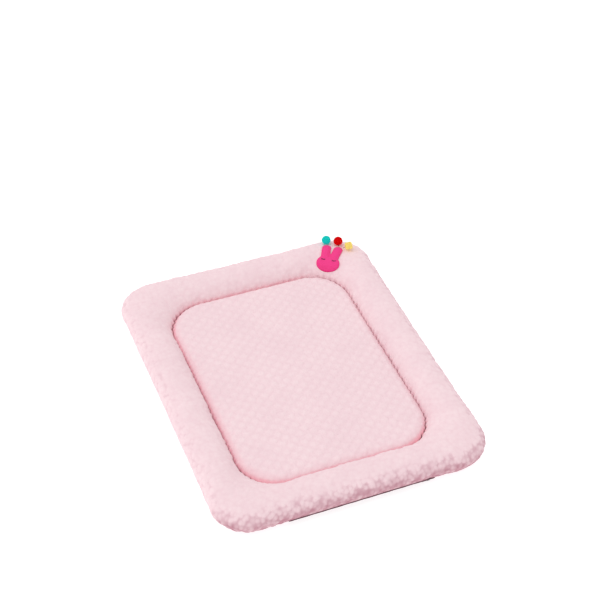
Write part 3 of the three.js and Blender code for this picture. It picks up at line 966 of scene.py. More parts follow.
def rim_swelling():
    """How far the stuffed rim's cloth stands off its calm surface, on a coarse grid of columns and rows.

    The cloth starts a little small, pressure swells it, and the average swelling of each row is then
    taken off, so that the rim keeps its height and width and only its unevenness is left.
    """
    places = np.arange(SWELL_COLUMNS) / SWELL_COLUMNS * TURN_LENGTHS[-1]
    turns = np.interp(places, TURN_LENGTHS, TURNS)
    points = rim_surface(turns, np.linspace(0, PROFILE_TOTAL, SWELL_ROWS))
    normals = grid_normals(points, closed_columns=True)
    pinned = near_zip(points)
    pinned[:, [0, -1]] = True
    start = points - SWELL_ROOM * normals * ~pinned[..., None]
    faces = grid_faces(SWELL_COLUMNS, SWELL_ROWS, closed_columns=True).tolist()
    move = swelled("rim_cloth", start, faces, pinned, SWELL_CAP, SWELL_JITTER)
    rise = np.sum(move * normals, -1, keepdims=True)
    free = ~pinned[..., None]
    average = np.sum(rise * free, 0) / np.maximum(free.sum(0), 1)
    uneven = (rise - average) * free * SWELL_SHARE
    return np.clip(uneven, -SWELL_DIP, SWELL_RISE)


RIM_SWELLING = rim_swelling()


def swelling_at(turns, lengths):
    """The rim's swelling read smoothly off the coarse grid."""
    places = np.interp(np.mod(turns, 1), TURNS, TURN_LENGTHS) / TURN_LENGTHS[-1] * SWELL_COLUMNS
    columns = cubic_weights(places, SWELL_COLUMNS, True)
    rows = cubic_weights(lengths / PROFILE_TOTAL * (SWELL_ROWS - 1), SWELL_ROWS, False)
    return np.einsum("ci,rj,ijk->crk", columns, rows, RIM_SWELLING, optimize=True)[..., 0]


def badge_calm(x, y):
    """The share of the plush's lumps that is left: none under the badge and some under a pompom."""
    calm = smoothstep(0, BADGE_CALM_REACH, badge_distance(x, y))
    for name in POMPOM_NAMES:
        low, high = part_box(f"{name}_pompom")
        distance = np.hypot(x - (low.x + high.x) / 2, y - (low.y + high.y) / 2)
        calm = np.minimum(calm, POMPOM_CALM + (1 - POMPOM_CALM) * smoothstep(*POMPOM_CALM_REACH, distance))
    return calm


def crease_gap(x, y):
    """1 along the two long sides, where the crease gapes and gets painted dark shade, and 0 at its ends."""
    return smoothstep(*GAP_SIDE, np.abs(x)) * smoothstep(*GAP_FRONT, y)


def rose_share(x, gap_shade):
    """How much of the crease's painted rose shade is left: all of it but along the right side, where the
    crease gapes and darker painted shade takes its place.
    """
    return 1 - (1 - GAP_ROSE_SHARE) * gap_shade * (x > 0)


def crease_shape(x, y, distance, outward):
    """The crease's waver and puckers: a sideways push, and a rise between -1 and 1, near the crease."""
    place, total = crease_place(x, y)
    nearness = np.exp(-distance / FOLD_REACH)
    ripple_depth = RIPPLE_DEPTH + GAP_RIPPLE * crease_gap(x, y)
    sideways = WAVE_DEPTH * waves(place, total, WAVE_PITCH, SEED)
    sideways = (sideways + ripple_depth * waves(place, total, RIPPLE_PITCH, SEED + 2)) * nearness
    pucker = waves(place, total, FOLD_PITCH, SEED + 1) * nearness
    return sideways[..., None] * outward, pucker


def rim_grid(first, last, knots):
    """Turns of a half's columns, profile lengths of its rows, and the columns' lengths round the rim."""
    stops = [np.interp(turn, TURNS_TWICE, LENGTHS_TWICE) for turn in (first, *knots, last)]
    lengths_round = between(stops, RIM_COLUMN_STEP)
    turns = np.interp(lengths_round, LENGTHS_TWICE, TURNS_TWICE)
    slot_edges = [row + side * SLOT_EDGE for row in SLOT_ROWS for side in (-1, 1)]
    return turns, between([0, *slot_edges, PROFILE_TOTAL], RIM_ROW_STEP), lengths_round


def slot_places(x, y, rows):
    """Whether each point of the rim is in the zip's slot, and how far along the surface it is from it."""
    low, high = SLOT_ROWS
    inside = (np.abs(x) < SLOT_HALF_LENGTH) & (y < 0) & (rows > low) & (rows < high)
    away = np.hypot(
        np.maximum(np.abs(x) - SLOT_HALF_LENGTH, 0),
        np.maximum(np.abs(rows - SLOT_MIDDLE) - SLOT_HALF_WIDTH, 0),
    )
    return inside, np.where(y < -HALF_LENGTH / 2, away, 1)


def rim_half(name, first, last, knots, join_end):
    """One stuffed half of the rim, as a closed form between two turns.

    join_end is 0 or -1, for the end that lies at the front, where the join is pulled in.
    """
    turns, rows, lengths_round = rim_grid(first, last, knots)
    calm = rim_surface(turns, rows)
    normals = grid_normals(calm)
    x, y = calm[..., 0], calm[..., 1]
    outward = np.pad(middle_ring(turns)[1], [(0, 0), (0, 1)])[:, None]
    from_crease = PROFILE_TOTAL - rows
    from_join = np.abs(lengths_round - lengths_round[join_end])[:, None]
    pressed = badge_calm(x, y)
    slot_inside, slot_away = slot_places(x, y, rows)
    slot_fade = smoothstep(0, SLOT_HEM, slot_away)

    lumps = plush_lumps(calm)
    tilt = 1 - normals[..., 2]
    outside = rows < PROFILE_CREST
    to_right, to_back = np.clip(normals[..., 0], 0, 1), normals[..., 1]
    facing = smoothstep(0, FACING_SHARE, RIGHT_CORNER_SHARE * to_right - to_back)
    wall = smoothstep(*WALL_TILT, tilt) * outside * (CALM_SIDES + (1 - CALM_SIDES) * facing)
    fade = smoothstep(0, WALL_FOOT_REACH, rows) * smoothstep(0, CREASE_CALM_REACH, from_crease)
    fade = fade * slot_fade * pressed
    relief = (TOP_RELIEF + (WALL_RELIEF - TOP_RELIEF) * wall) * (lumps - LUMP_LEVEL) * fade
    push, pucker = crease_shape(x, y, from_crease, outward)
    pinch = np.exp(-((from_join / JOIN_REACH) ** 2)) * wall * smoothstep(0, JOIN_FOOT_REACH, rows)
    lift = relief + FOLD_DEPTH * pucker * smoothstep(0, FOLD_START, from_crease)
    lift = lift + CREASE_BULGE * smoothstep(CREASE_BULGE_REACH, 0, from_crease)
    lift = lift - JOIN_PINCH * pinch - SLOT_DEPTH * slot_inside
    lift = lift + swelling_at(turns, rows) * pressed * slot_fade
    top = calm + push + lift[..., None] * normals

    under = plan_grid(turns, UNDERSIDE[:, 0])
    under_heights = np.broadcast_to(UNDERSIDE[:, 1], under.shape[:2])
    points = np.concatenate([top, np.concatenate([under, under_heights[..., None]], -1)], 1)
    gap_shade = crease_gap(x, y)
    # painted shade low on the walls that face away from the light, more between the lumps and at the foot
    low = LOW_SHADE_TINT * smoothstep(*LOW_TILT, tilt) * outside * facing
    low = low * (LOW_SHARES[0] + LOW_SHARES[1] * (1 - lumps))
    low = low + FOOT_SHADE_TINT * smoothstep(*FOOT_REACH, rows) * facing
    attributes = {
        # painted shade between the lumps, more on the walls
        "relief": 1 - (1 - lumps) * (TOP_LUMP_SHADE + (1 - TOP_LUMP_SHADE) * wall),
        # painted shade in the crease, less rose on the right where the crease gapes
        "crease": RIM_CREASE_SHADE * np.exp(-from_crease / RIM_CREASE_REACH) * rose_share(x, gap_shade),
        # painted dark shade where the crease gapes
        "gap_shade": gap_shade * np.exp(-((from_crease / GAP_REACH) ** 2)),
        "low": np.clip(low, 0, 1),
        # a dark band painted in and round the zip's slot
        "slot_band": smoothstep(SLOT_BAND_REACH + SLOT_EDGE, SLOT_BAND_REACH, slot_away),
    }
    for title, values in attributes.items():
        attributes[title] = np.pad(values, [(0, 0), (0, len(UNDERSIDE))])
    columns, count = points.shape[:2]
    faces = grid_faces(columns, count, closed_rows=True).tolist()
    faces.append(list(range(count)))
    faces.append(list(range(columns * count - 1, (columns - 1) * count - 1, -1)))
    half = make_object(name, points.reshape(-1, 3), faces, FINISHES["plush"], attributes)
    half.data.set_sharp_from_angle(angle=JOIN_EDGE)
    return half


def add_rim():
    """The rim's two halves, joined at the front right and the back left."""
    front = turn_near(JOIN_X, -HALF_LENGTH)
    back = turn_near(-JOIN_X, HALF_LENGTH)
    lap = JOIN_LAP / TURN_LENGTHS[-1]
    slot_ends = [
        turn_near(side * SLOT_HALF_LENGTH + step, -HALF_LENGTH)
        for side in (-1, 1)
        for step in (-SLOT_EDGE, SLOT_EDGE)
    ]
    left = rim_half("rim_plush_left", back - lap, front + lap, slot_ends[:2], -1)
    right = rim_half("rim_plush_right", front - lap, back + 1 + lap, slot_ends[2:], 0)
    finished(left, "plush", "pad", "rim_cover")
    finished(right, "plush", "pad")


# ------------------------------------------------------------------ the plush mat

def mat_grid(short_cells, long_cells):
    """The mat's calm top as a grid of points whose border is the mat's rounded outline.

    Rings of cells follow the outline inwards at even steps over the rounded edge and across the top.
    Also given is how far each point is from the border along the surface.
    """
    arc = np.linspace(0, math.pi / 2, MAT_EDGE_POINTS)
    edge = np.stack([
        MAT_EDGE_RADIUS * (1 - np.cos(arc)),
        MAT_HEIGHT - MAT_EDGE_RADIUS * (1 - np.sin(arc)),
    ], -1)
    profile = np.concatenate([[[0, MAT_WALL_FOOT]], edge, [[MAT_HALF_WIDTH, MAT_HEIGHT]]])
    total = running_length(profile)[-1]
    column = np.arange(short_cells + 1)[:, None] - short_cells / 2
    row = np.arange(long_cells + 1)[None, :] - long_cells / 2
    ring = np.minimum(short_cells / 2 - np.abs(column), long_cells / 2 - np.abs(row))
    from_border = ring / (short_cells / 2) * total
    inset = np.interp(from_border, running_length(profile), profile[:, 0])
    height = np.interp(from_border, running_length(profile), profile[:, 1])
    half_x = MAT_HALF_WIDTH - inset
    half_y = MAT_HALF_LENGTH - inset
    radius = ring_size(MAT_INSET)[2] * (1 - inset / MAT_HALF_WIDTH)
    on_end = long_cells / 2 - np.abs(row) <= short_cells / 2 - np.abs(column)

    side, far = np.where(on_end, half_x, half_y), np.where(on_end, half_y, half_x)
    cells = np.where(on_end, short_cells, long_cells) / 2 - ring
    share = np.where(on_end, column, row) / np.maximum(cells, TINY)
    path = np.abs(share) * (side - radius + radius * math.pi / 4)
    straight = np.minimum(path, side - radius)
    angle = (path - straight) / np.maximum(radius, TINY)
    along_side = np.sign(share) * (straight + radius * np.sin(angle))
    to_side = np.sign(np.where(on_end, row, column)) * (far - radius + radius * np.cos(angle))
    x = np.where(on_end, along_side, to_side)
    y = np.where(on_end, to_side, along_side)
    return np.stack([x, y, height], -1), from_border


def mat_swelling():
    """The unevenness of the mat's cloth over its foam, read onto the mat's full grid."""
    short_cells = MAT_SHORT_CELLS // MAT_SWELL_RATIO
    long_cells = MAT_LONG_CELLS // MAT_SWELL_RATIO
    points, from_border = mat_grid(short_cells, long_cells)
    pinned = from_border < MAT_SWELL_BORDER
    faces = grid_faces(short_cells + 1, long_cells + 1).tolist()
    move = swelled("mat_cloth", points, faces, pinned, MAT_SWELL_CAP, MAT_SWELL_JITTER)
    rise = np.sum(move * grid_normals(points), -1)
    rise = np.clip((rise - rise[~pinned].mean()) * ~pinned * MAT_SWELL_SHARE, -SWELL_DIP, SWELL_RISE)
    columns = cubic_weights(np.linspace(0, short_cells, MAT_SHORT_CELLS + 1), short_cells + 1, False)
    rows = cubic_weights(np.linspace(0, long_cells, MAT_LONG_CELLS + 1), long_cells + 1, False)
    return np.einsum("ci,rj,ij->cr", columns, rows, rise, optimize=True)


def border_loop(columns, rows):
    """Indices of a grid's border points, once round."""
    grid = np.arange(columns * rows).reshape(columns, rows)
    return np.concatenate([grid[:-1, 0], grid[-1, :-1], grid[:0:-1, -1], grid[0, :0:-1]])


def add_mat():
    """The mat's plush cover over its foam, closed underneath."""
    calm, from_border = mat_grid(MAT_SHORT_CELLS, MAT_LONG_CELLS)
    normals = grid_normals(calm)
    x, y = calm[..., 0], calm[..., 1]
    centre_x, centre_y, _ = ring_size(CREASE_INSET)
    outward = calm - np.clip(calm, [-centre_x, -centre_y, -np.inf], [centre_x, centre_y, np.inf])
    outward /= np.maximum(np.linalg.norm(outward, axis=-1, keepdims=True), TINY)
    small = pebbles(calm, MAT_PEBBLE_PITCH, SEED)
    lumps = PLUSH_DOT_SHARE * plush_dots(x, y) + (1 - PLUSH_DOT_SHARE) * small
    relief = MAT_RELIEF * (lumps - LUMP_LEVEL) * smoothstep(*MAT_RELIEF_REACH, from_border)
    push, pucker = crease_shape(x, y, from_border, outward)
    crown = MAT_CROWN * (1 - (x / MAT_HALF_WIDTH) ** 2) * (1 - (y / MAT_HALF_LENGTH) ** 2)
    lift = relief + MAT_FULLNESS + FOLD_DEPTH * (1 - pucker) / 2
    bulge = CREASE_BULGE * smoothstep(0, MAT_BULGE_START, from_border)
    lift = lift + bulge * smoothstep(MAT_BULGE_END, CREASE_BULGE_REACH, from_border)
    points = calm + push + (lift + mat_swelling())[..., None] * normals
    points[..., 2] += crown

    gap_shade = crease_gap(x, y)
    # painted shade on the mat's edge in the crease, wider along its left front, less rose on the right where
    # the crease gapes
    shade = smoothstep(*MAT_SHADE_SIDE, x) * smoothstep(*MAT_SHADE_FRONT, y)
    gap_reach = GAP_REACH + MAT_GAP_REACH * shade
    away = from_border + MAT_CREASE_WAVER * pucker
    tint = MAT_CREASE_SHADE * (1 - smoothstep(*MAT_CREASE_REACH, away))
    tint = np.maximum(tint, MAT_SHADE_TINT * shade * (1 - smoothstep(0, MAT_SHADE_REACH, away)))
    tint = tint * rose_share(x, gap_shade)
    border = border_loop(*calm.shape[:2])
    flat = points.reshape(-1, 3)
    foot = flat[border] * [1, 1, 0] + [0, 0, FOOT[1]]
    faces = grid_faces(*calm.shape[:2]).tolist()
    start = len(flat)
    for step, corner in enumerate(border.tolist()):
        following = (step + 1) % len(border)
        faces.append([corner, start + step, start + following, int(border[following])])
    faces.append([start + step for step in range(len(border) - 1, -1, -1)])
    padding = np.zeros(len(border))
    attributes = {
        # painted shade between the lumps
        "relief": np.append(1 - (1 - lumps) * MAT_LUMP_SHADE, padding),
        "crease": np.append(tint, padding),
        # painted dark shade where the crease gapes, reaching further along the left front
        "gap_shade": np.append(gap_shade * np.exp(-((from_border / gap_reach) ** 2)), padding),
    }
    mat = make_object("mat_plush", np.concatenate([flat, foot]), faces, FINISHES["plush"], attributes)
    finished(mat, "plush", "pad", "mat_cover")


# ------------------------------------------------------------------ the felt rabbit

FELT = 1.5 * MM
FELT_CELL = 0.75 * MM
BACK_FELT_LOW = 0.4 * MM
FRONT_FELT_LOW = 2.1 * MM
FRONT_EDGE_HIGH = 3.5 * MM
FRONT_CENTRE_HIGH = 6.1 * MM
PADDED_REACH = 8 * MM
EDGE_ROUND = 1.3 * MM
STITCH_INSET = 2.6 * MM
STITCH_PITCH = 3.4 * MM
STITCH_LENGTH = 2.1 * MM
STITCH_RADIUS = 0.3 * MM
BADGE_REACH = 62 * MM
SLOPE_STEP = 0.1 * MM
LEAST_STEEPNESS = 0.25
OUTLINE_PULLS = 4
EDGE_CURVE = 0.8
CONTOUR_STEP = 0.25 * MM
CONTOUR_LEAST_POINTS = 20
STITCH_POINTS = 7
STITCH_SIDES = 6
STITCH_BOW = 1.4
STITCH_TAPER = 0.75
WADDING_LOW = 2.1 * MM
WADDING_TRIM = 5.5 * MM
WADDING_ROOM = 0.1 * MM
EYE_PLACE = np.array([11.8, 6.5]) * MM
EYE_HALF_WIDTH = 4.8 * MM
EYE_SAG = 1.0 * MM
EYE_RADIUS = 0.75 * MM
EYE_POINTS = 13
EYE_SIDES = 8
EYE_TAPER = 0.8
LASH_LENGTH = 1.8 * MM
LASH_PLACES = (-0.6, 0, 0.6)
LASH_LEAN = 0.5
LASH_POINTS = 5
LASH_WIDTHS = (0.7, 0.3)


def over_rim(x, y, rise):
    """Points at a height above the rim's calm surface, measured square to it."""
    return np.stack([x, y, rim_height(x, y) + rise / rim_slope(x, y)], -1)


def front_felt_top(distance):
    """How far the front felt's top stands off the rim, at a distance outwards from the badge's outline."""
    padding = (FRONT_CENTRE_HIGH - FRONT_EDGE_HIGH) * smoothstep(0, PADDED_REACH, -distance)
    edge = np.clip(1 + distance / EDGE_ROUND, 0, 1)
    return FRONT_EDGE_HIGH + padding - EDGE_ROUND * (1 - np.sqrt(1 - EDGE_CURVE * edge**2))


def felt_layer(name, underside, top, material, trim=0.0):
    """One layer cut to the badge's outline less a trim, between two heights given by distance from it."""
    steps = np.arange(-BADGE_REACH, BADGE_REACH, FELT_CELL)
    x, y = np.meshgrid(BADGE_CENTRE[0] + steps, BADGE_CENTRE[1] + steps, indexing="ij")
    inside = badge_distance(x, y) + trim < 0
    cells = inside[:-1, :-1] & inside[1:, :-1] & inside[1:, 1:] & inside[:-1, 1:]
    index = np.arange(x.size).reshape(x.shape)
    squares = np.stack([index[:-1, :-1], index[1:, :-1], index[1:, 1:], index[:-1, 1:]], -1)[cells]
    used, squares = np.unique(squares, return_inverse=True)
    squares = squares.reshape(-1, 4)
    edges = np.stack([squares, np.roll(squares, -1, 1)], -1).reshape(-1, 2)
    keys = {tuple(edge) for edge in edges.tolist()}
    border = [edge for edge in keys if edge[::-1] not in keys]
    x, y = x.ravel()[used], y.ravel()[used]
    rim = np.unique([edge[0] for edge in border])
    for _ in range(OUTLINE_PULLS):
        distance = badge_distance(x[rim], y[rim])
        slope_x = (badge_distance(x[rim] + SLOPE_STEP, y[rim]) - distance) / SLOPE_STEP
        slope_y = (badge_distance(x[rim], y[rim] + SLOPE_STEP) - distance) / SLOPE_STEP
        steepness = np.maximum(slope_x**2 + slope_y**2, LEAST_STEEPNESS)
        x[rim] -= (distance + trim) * slope_x / steepness
        y[rim] -= (distance + trim) * slope_y / steepness
    distance = badge_distance(x, y)
    upper = over_rim(x, y, top(distance))
    lower = over_rim(x, y, underside(distance))
    count = len(x)
    faces = squares.tolist() + (squares[:, ::-1] + count).tolist()
    faces += [[end, start, start + count, end + count] for start, end in border]
    return make_object(name, np.concatenate([upper, lower]), faces, material)


def badge_contour(distance):
    """The closed line at a distance from the badge's outline, as plan points at an even spacing."""
    point = BADGE_CENTRE
    outward = np.array(badge_plan(0, -1)) - BADGE_CENTRE
    while badge_distance(*point) < distance:
        point = point + outward * CONTOUR_STEP
    points = [point]
    while len(points) < CONTOUR_LEAST_POINTS or np.linalg.norm(points[-1] - points[0]) > CONTOUR_STEP:
        here = points[-1]
        value = badge_distance(*here)
        slope = np.array([
            badge_distance(here[0] + CONTOUR_STEP / 5, here[1]) - value,
            badge_distance(here[0], here[1] + CONTOUR_STEP / 5) - value,
        ])
        slope /= np.linalg.norm(slope)
        onward = here + CONTOUR_STEP * np.array([-slope[1], slope[0]])
        points.append(onward - slope * (badge_distance(*onward) - distance))
    return evenly(np.array(points), CONTOUR_STEP)


def stitch(start, end, bury, radius):
    """One stitch between two points: a thread that bows up a little and dives in at both ends."""
    share = np.linspace(0, 1, STITCH_POINTS)
    path = start + (end - start) * share[:, None]
    path[:, 2] += bury * (np.sqrt(np.maximum(1 - (2 * share - 1) ** 2, 0)) * STITCH_BOW - 1)
    return tube(path, radius * np.sqrt(np.maximum(1 - STITCH_TAPER * (2 * share - 1) ** 4, 0)), STITCH_SIDES)


def add_badge_stitching():
    """The running stitch that holds the two felts together round the edge."""
    line = badge_contour(-STITCH_INSET)
    total = running_length(line)[-1]
    count = round(total / STITCH_PITCH)
    starts = np.arange(count) * total / count
    top = front_felt_top(np.array(-STITCH_INSET))
    parts = []
    for start in starts:
        ends = along(line, np.array([start, start + STITCH_LENGTH]))
        first, last = over_rim(ends[:, 0], ends[:, 1], top)
        parts.append(stitch(first, last, STITCH_RADIUS, STITCH_RADIUS))
    stitches = make_object("rabbit_edge_stitching", *joined(parts), FINISHES["pink_thread"])
    finished(stitches, "pink_felt", "pad")


def felt_path(x, y, rise):
    """A line given in the badge's own plan, at a height over the front felt."""
    plan_x, plan_y = badge_plan(x, y)
    return over_rim(plan_x, plan_y, front_felt_top(badge_distance(plan_x, plan_y)) + rise)


def add_eye(side, name):
    """A closed eye: a lid of thick thread, and three short lashes below it."""
    share = np.linspace(-1, 1, EYE_POINTS)
    lid_x = side * EYE_PLACE[0] + share * EYE_HALF_WIDTH
    lid_y = EYE_PLACE[1] - EYE_SAG * (1 - share**2)
    lid_radii = EYE_RADIUS * np.sqrt(1 - EYE_TAPER * share**4)
    parts = [tube(felt_path(lid_x, lid_y, EYE_RADIUS / 2), lid_radii, EYE_SIDES)]
    down = np.linspace(0, LASH_LENGTH, LASH_POINTS)
    lash_radii = EYE_RADIUS * np.linspace(*LASH_WIDTHS, LASH_POINTS)
    for place in LASH_PLACES:
        lash_x = side * EYE_PLACE[0] + place * EYE_HALF_WIDTH + place * LASH_LEAN * down
        lash_y = EYE_PLACE[1] - EYE_SAG * (1 - place**2) - down
        parts.append(tube(felt_path(lash_x, lash_y, EYE_RADIUS / 3), lash_radii, STITCH_SIDES))
    eye = make_object(f"{name}_stitched", *joined(parts), FINISHES["eye_thread"])
    finished(eye, "eye_thread", "pad", name)


def level(height):
    """A layer's face at one height all over."""
    return lambda distance: np.full_like(distance, height)


def front_felt_under(distance):
    """How far the front felt's underside stands off the rim."""
    return np.maximum(front_felt_top(distance) - FELT, FRONT_FELT_LOW)


def wadding_top(distance):
    """How far the wadding's top stands off the rim, just under the front felt."""
    return front_felt_top(distance) - FELT - WADDING_ROOM


def add_rabbit():
    """The badge: a back felt, a padded front felt with its eyes, and wadding between them."""
    felt, fibre = FINISHES["pink_felt"], FINISHES["fibre"]
    back = felt_layer("rabbit_back_layer", level(BACK_FELT_LOW), level(BACK_FELT_LOW + FELT), felt)
    finished(back, "pink_felt", "pad", "rabbit_back_felt")
    front = felt_layer("rabbit_front_layer", front_felt_under, front_felt_top, felt)
    finished(front, "pink_felt", "pad", "rabbit_front_felt")
    wadding = felt_layer("rabbit_wadding_pad", level(WADDING_LOW), wadding_top, fibre, WADDING_TRIM)
    finished(wadding, "fibre", "pad", "rabbit_wadding")
    add_badge_stitching()
    add_eye(-1, "rabbit_left_eye")
    add_eye(1, "rabbit_right_eye")


# ------------------------------------------------------------------ the pompoms and their threads

POMPOM_TURNS = (("Z", -22), ("X", 48), ("Z", 14))
POMPOM_TURNED = [Matrix.Rotation(math.radians(angle), 3, axis) for axis, angle in POMPOM_TURNS]
POMPOM_AXES = np.array(POMPOM_TURNED[0] @ POMPOM_TURNED[1] @ POMPOM_TURNED[2])
STRANDS = 1500
STRAND_CORE = 0.95
STRAND_RADIUS = 0.42 * MM
STRAND_REACH = 1.15
STRAND_PRESSED = 1.0
STRAND_SIDES = 4
STRAND_SHORTEST = 0.95
STRAND_LONGEST = 1.01
STRAND_LEAN = 0.12
STRAND_SHOULDER = 0.9
# depths of a strand's rings, root to tip, for the wool's painted shade
STRAND_DEPTHS = [1] * STRAND_SIDES + [0.15] * STRAND_SIDES + [0]
PRESSED_FACE = (0.2, 0.9)
POMPOM_SHAPES = {"teal": (2.0, 1.0), "red": (2.1, 1.0), "yellow": (4.8, 0.8)}
CORE_RINGS = 18
CORE_SIDES = 28
WIDEST = 1.13
PLY_RADIUS = 0.28 * MM
PLY_PITCH = 1.6 * MM
PLY_STEPS = 10
PLY_LEAST_POINTS = 12
PLY_SIDES = 6
PLY_NEARNESS = 0.9


def sphere_directions(count):
    """Directions spread evenly over a sphere on a spiral."""
    index = np.arange(count) + 0.5
    height = 1 - 2 * index / count
    angle = index * math.pi * (1 + math.sqrt(5))
    width = np.sqrt(1 - height**2)
    return np.stack([width * np.cos(angle), width * np.sin(angle), height], -1)


def pompom_strands(centre, radius, squareness, girth, seed):
    """Points, faces and depths of the tapered strands that stand out of a trimmed pompom's core.

    squareness makes the outline squarer above 2, and girth scales how far the strands stand out.
    """
    rolls = np.random.default_rng(seed)
    out = sphere_directions(STRANDS)
    own = out @ POMPOM_AXES
    reach = girth * radius / np.sum(np.abs(own) ** squareness, 1) ** (1 / squareness)
    pressed = smoothstep(*PRESSED_FACE, -out[:, 2])
    reach = np.minimum(reach, radius * WIDEST) * (STRAND_REACH + (STRAND_PRESSED - STRAND_REACH) * pressed)
    reach = reach * rolls.uniform(STRAND_SHORTEST, STRAND_LONGEST, STRANDS)
    lean = out + rolls.normal(0, STRAND_LEAN, out.shape)
    lean /= np.linalg.norm(lean, axis=1, keepdims=True)
    side = np.cross(out, rolls.normal(size=out.shape))
    side /= np.linalg.norm(side, axis=1, keepdims=True)
    lift = np.cross(out, side)
    turn = np.arange(STRAND_SIDES) * 2 * math.pi / STRAND_SIDES
    circle = np.cos(turn)[None, :, None] * side[:, None] + np.sin(turn)[None, :, None] * lift[:, None]
    root = out[:, None] * radius * girth * STRAND_CORE * STRAND_SHOULDER + circle * STRAND_RADIUS
    middle = out[:, None] * reach[:, None, None] * STRAND_SHOULDER + circle * STRAND_RADIUS
    tip = lean * reach[:, None]
    points = np.concatenate([root, middle, tip[:, None]], 1) + centre
    start = np.arange(STRANDS)[:, None] * len(STRAND_DEPTHS)
    faces = (start + list(range(STRAND_SIDES))[::-1]).tolist()
    for corner in range(STRAND_SIDES):
        following = (corner + 1) % STRAND_SIDES
        faces += (start + [corner, following, following + STRAND_SIDES, corner + STRAND_SIDES]).tolist()
        faces += (start + [corner + STRAND_SIDES, following + STRAND_SIDES, 2 * STRAND_SIDES]).tolist()
    return points.reshape(-1, 3), faces, np.tile(STRAND_DEPTHS, STRANDS)


def turned(radii, heights, sides):
    """Points of rings of one number of sides each, one ring for each radius and height."""
    around = np.arange(sides) * 2 * math.pi / sides
    x, y = radii[:, None] * np.cos(around), radii[:, None] * np.sin(around)
    return np.stack(np.broadcast_arrays(x, y, heights[:, None]), -1).reshape(-1, 3)


def core_ball(centre, radius):
    """A closed ball as rings of faces between two poles."""
    polar = np.arange(1, CORE_RINGS) * math.pi / CORE_RINGS
    rings = turned(np.sin(polar), np.cos(polar), CORE_SIDES)
    points = np.concatenate([rings, [[0, 0, 1], [0, 0, -1]]]) * radius + centre
    faces = grid_faces(CORE_RINGS - 1, CORE_SIDES, closed_rows=True).tolist()
    top, bottom, last = len(rings), len(rings) + 1, len(rings) - CORE_SIDES
    for side in range(CORE_SIDES):
        following = (side + 1) % CORE_SIDES
        faces.append([top, side, following])
        faces.append([bottom, last + following, last + side])
    return points, faces


def twisted_thread(start, end):
    """Two plies twisted round each other from start to end."""
    start, end = np.array(start), np.array(end)
    length = np.linalg.norm(end - start)
    share = np.linspace(0, 1, max(PLY_LEAST_POINTS, round(length / PLY_PITCH * PLY_STEPS)))
    onward = (end - start) / length
    side = np.cross(onward, [0, 0, 1])
    side /= np.linalg.norm(side)
    lift = np.cross(side, onward)
    plies = []
    for phase in (0, math.pi):
        angle = share * length / PLY_PITCH * 2 * math.pi + phase
        round_axis = np.cos(angle)[:, None] * side + np.sin(angle)[:, None] * lift
        path = start + share[:, None] * (end - start) + round_axis * PLY_RADIUS * PLY_NEARNESS
        plies.append(tube(path, PLY_RADIUS, PLY_SIDES))
    return joined(plies)


def add_pompom(name):
    """A pompom, and the thread that ties it to an ear's tip."""
    squareness, girth = POMPOM_SHAPES[name]
    low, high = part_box(f"{name}_pompom")
    centre = np.array((low + high) / 2)
    radius = (high.z - low.z) / 2
    points, faces, depths = pompom_strands(centre, radius, squareness, girth, SEED + len(name))
    core_points, core_faces = core_ball(centre, radius * STRAND_CORE * girth)
    points, faces = joined([(points, faces), (core_points, core_faces)])
    # painted shade of the wool: darkest on the core and at the strands' roots
    attributes = {"depth_shade": np.append(depths, np.ones(len(core_points)))}
    ball = make_object(f"{name}_pompom_wool", points, faces, FINISHES[f"{name}_wool"], attributes)
    finished(ball, f"{name}_wool", f"{name}_pompom", f"{name}_pompom")
    lift = next(joint for joint in frame["joints"] if joint["name"] == f"{name}_pompom_lift")
    knot = np.array(lift["pos_m"])
    towards = (centre - knot) / np.linalg.norm(centre - knot)
    cord_mesh = twisted_thread(knot, centre - towards * radius * STRAND_CORE)
    cord_piece = make_object(f"{name}_thread_twisted", *cord_mesh, FINISHES["dark_thread"])
    finished(cord_piece, "dark_thread", f"{name}_pompom", f"{name}_pompom_thread")


# ------------------------------------------------------------------ the zip

COIL_HALF_LENGTH = 145 * MM
COIL_CENTRE = np.array([1.35, -1.1]) * MM
COIL_HALF = np.array([0.5, 0.72]) * MM
COIL_WIRE = 0.2 * MM
COIL_PITCH = 1.5 * MM
COIL_POINTS = 10
TOPSTITCH_AWAY = 4.6 * MM
TOPSTITCH_PITCH = 3.6 * MM
TOPSTITCH_LENGTH = 2.5 * MM
BEVEL = 0.22 * MM
PIPING_AWAY = 1.6 * MM
PIPING_PROUD = 0.7 * MM
PIPING_RADIUS = 1.15 * MM
PIPING_UNEVEN = 0.25 * MM
PIPING_TAPER = 5 * MM
PIPING_POINTS = 160
PIPING_SIDES = 10
PIPING_LEAST = 0.05
COIL_SIDES = 5
TOPSTITCH_START = 0.3
TOPSTITCH_BURY = 0.1 * MM
BEVEL_SEGMENTS = 3
BEVEL_ANGLE = math.radians(35)


def zip_points(along_x, up_wall, out):
    """Points in the zip's own directions: along the pad, up its front wall and out of the wall."""
    cos, sin = ZIP_WALL
    y = -(HALF_LENGTH - ZIP_INSET) - up_wall * cos - out * sin
    z = ZIP_HEIGHT + up_wall * sin - out * cos
    return np.stack(np.broadcast_arrays(along_x, y, z), -1)


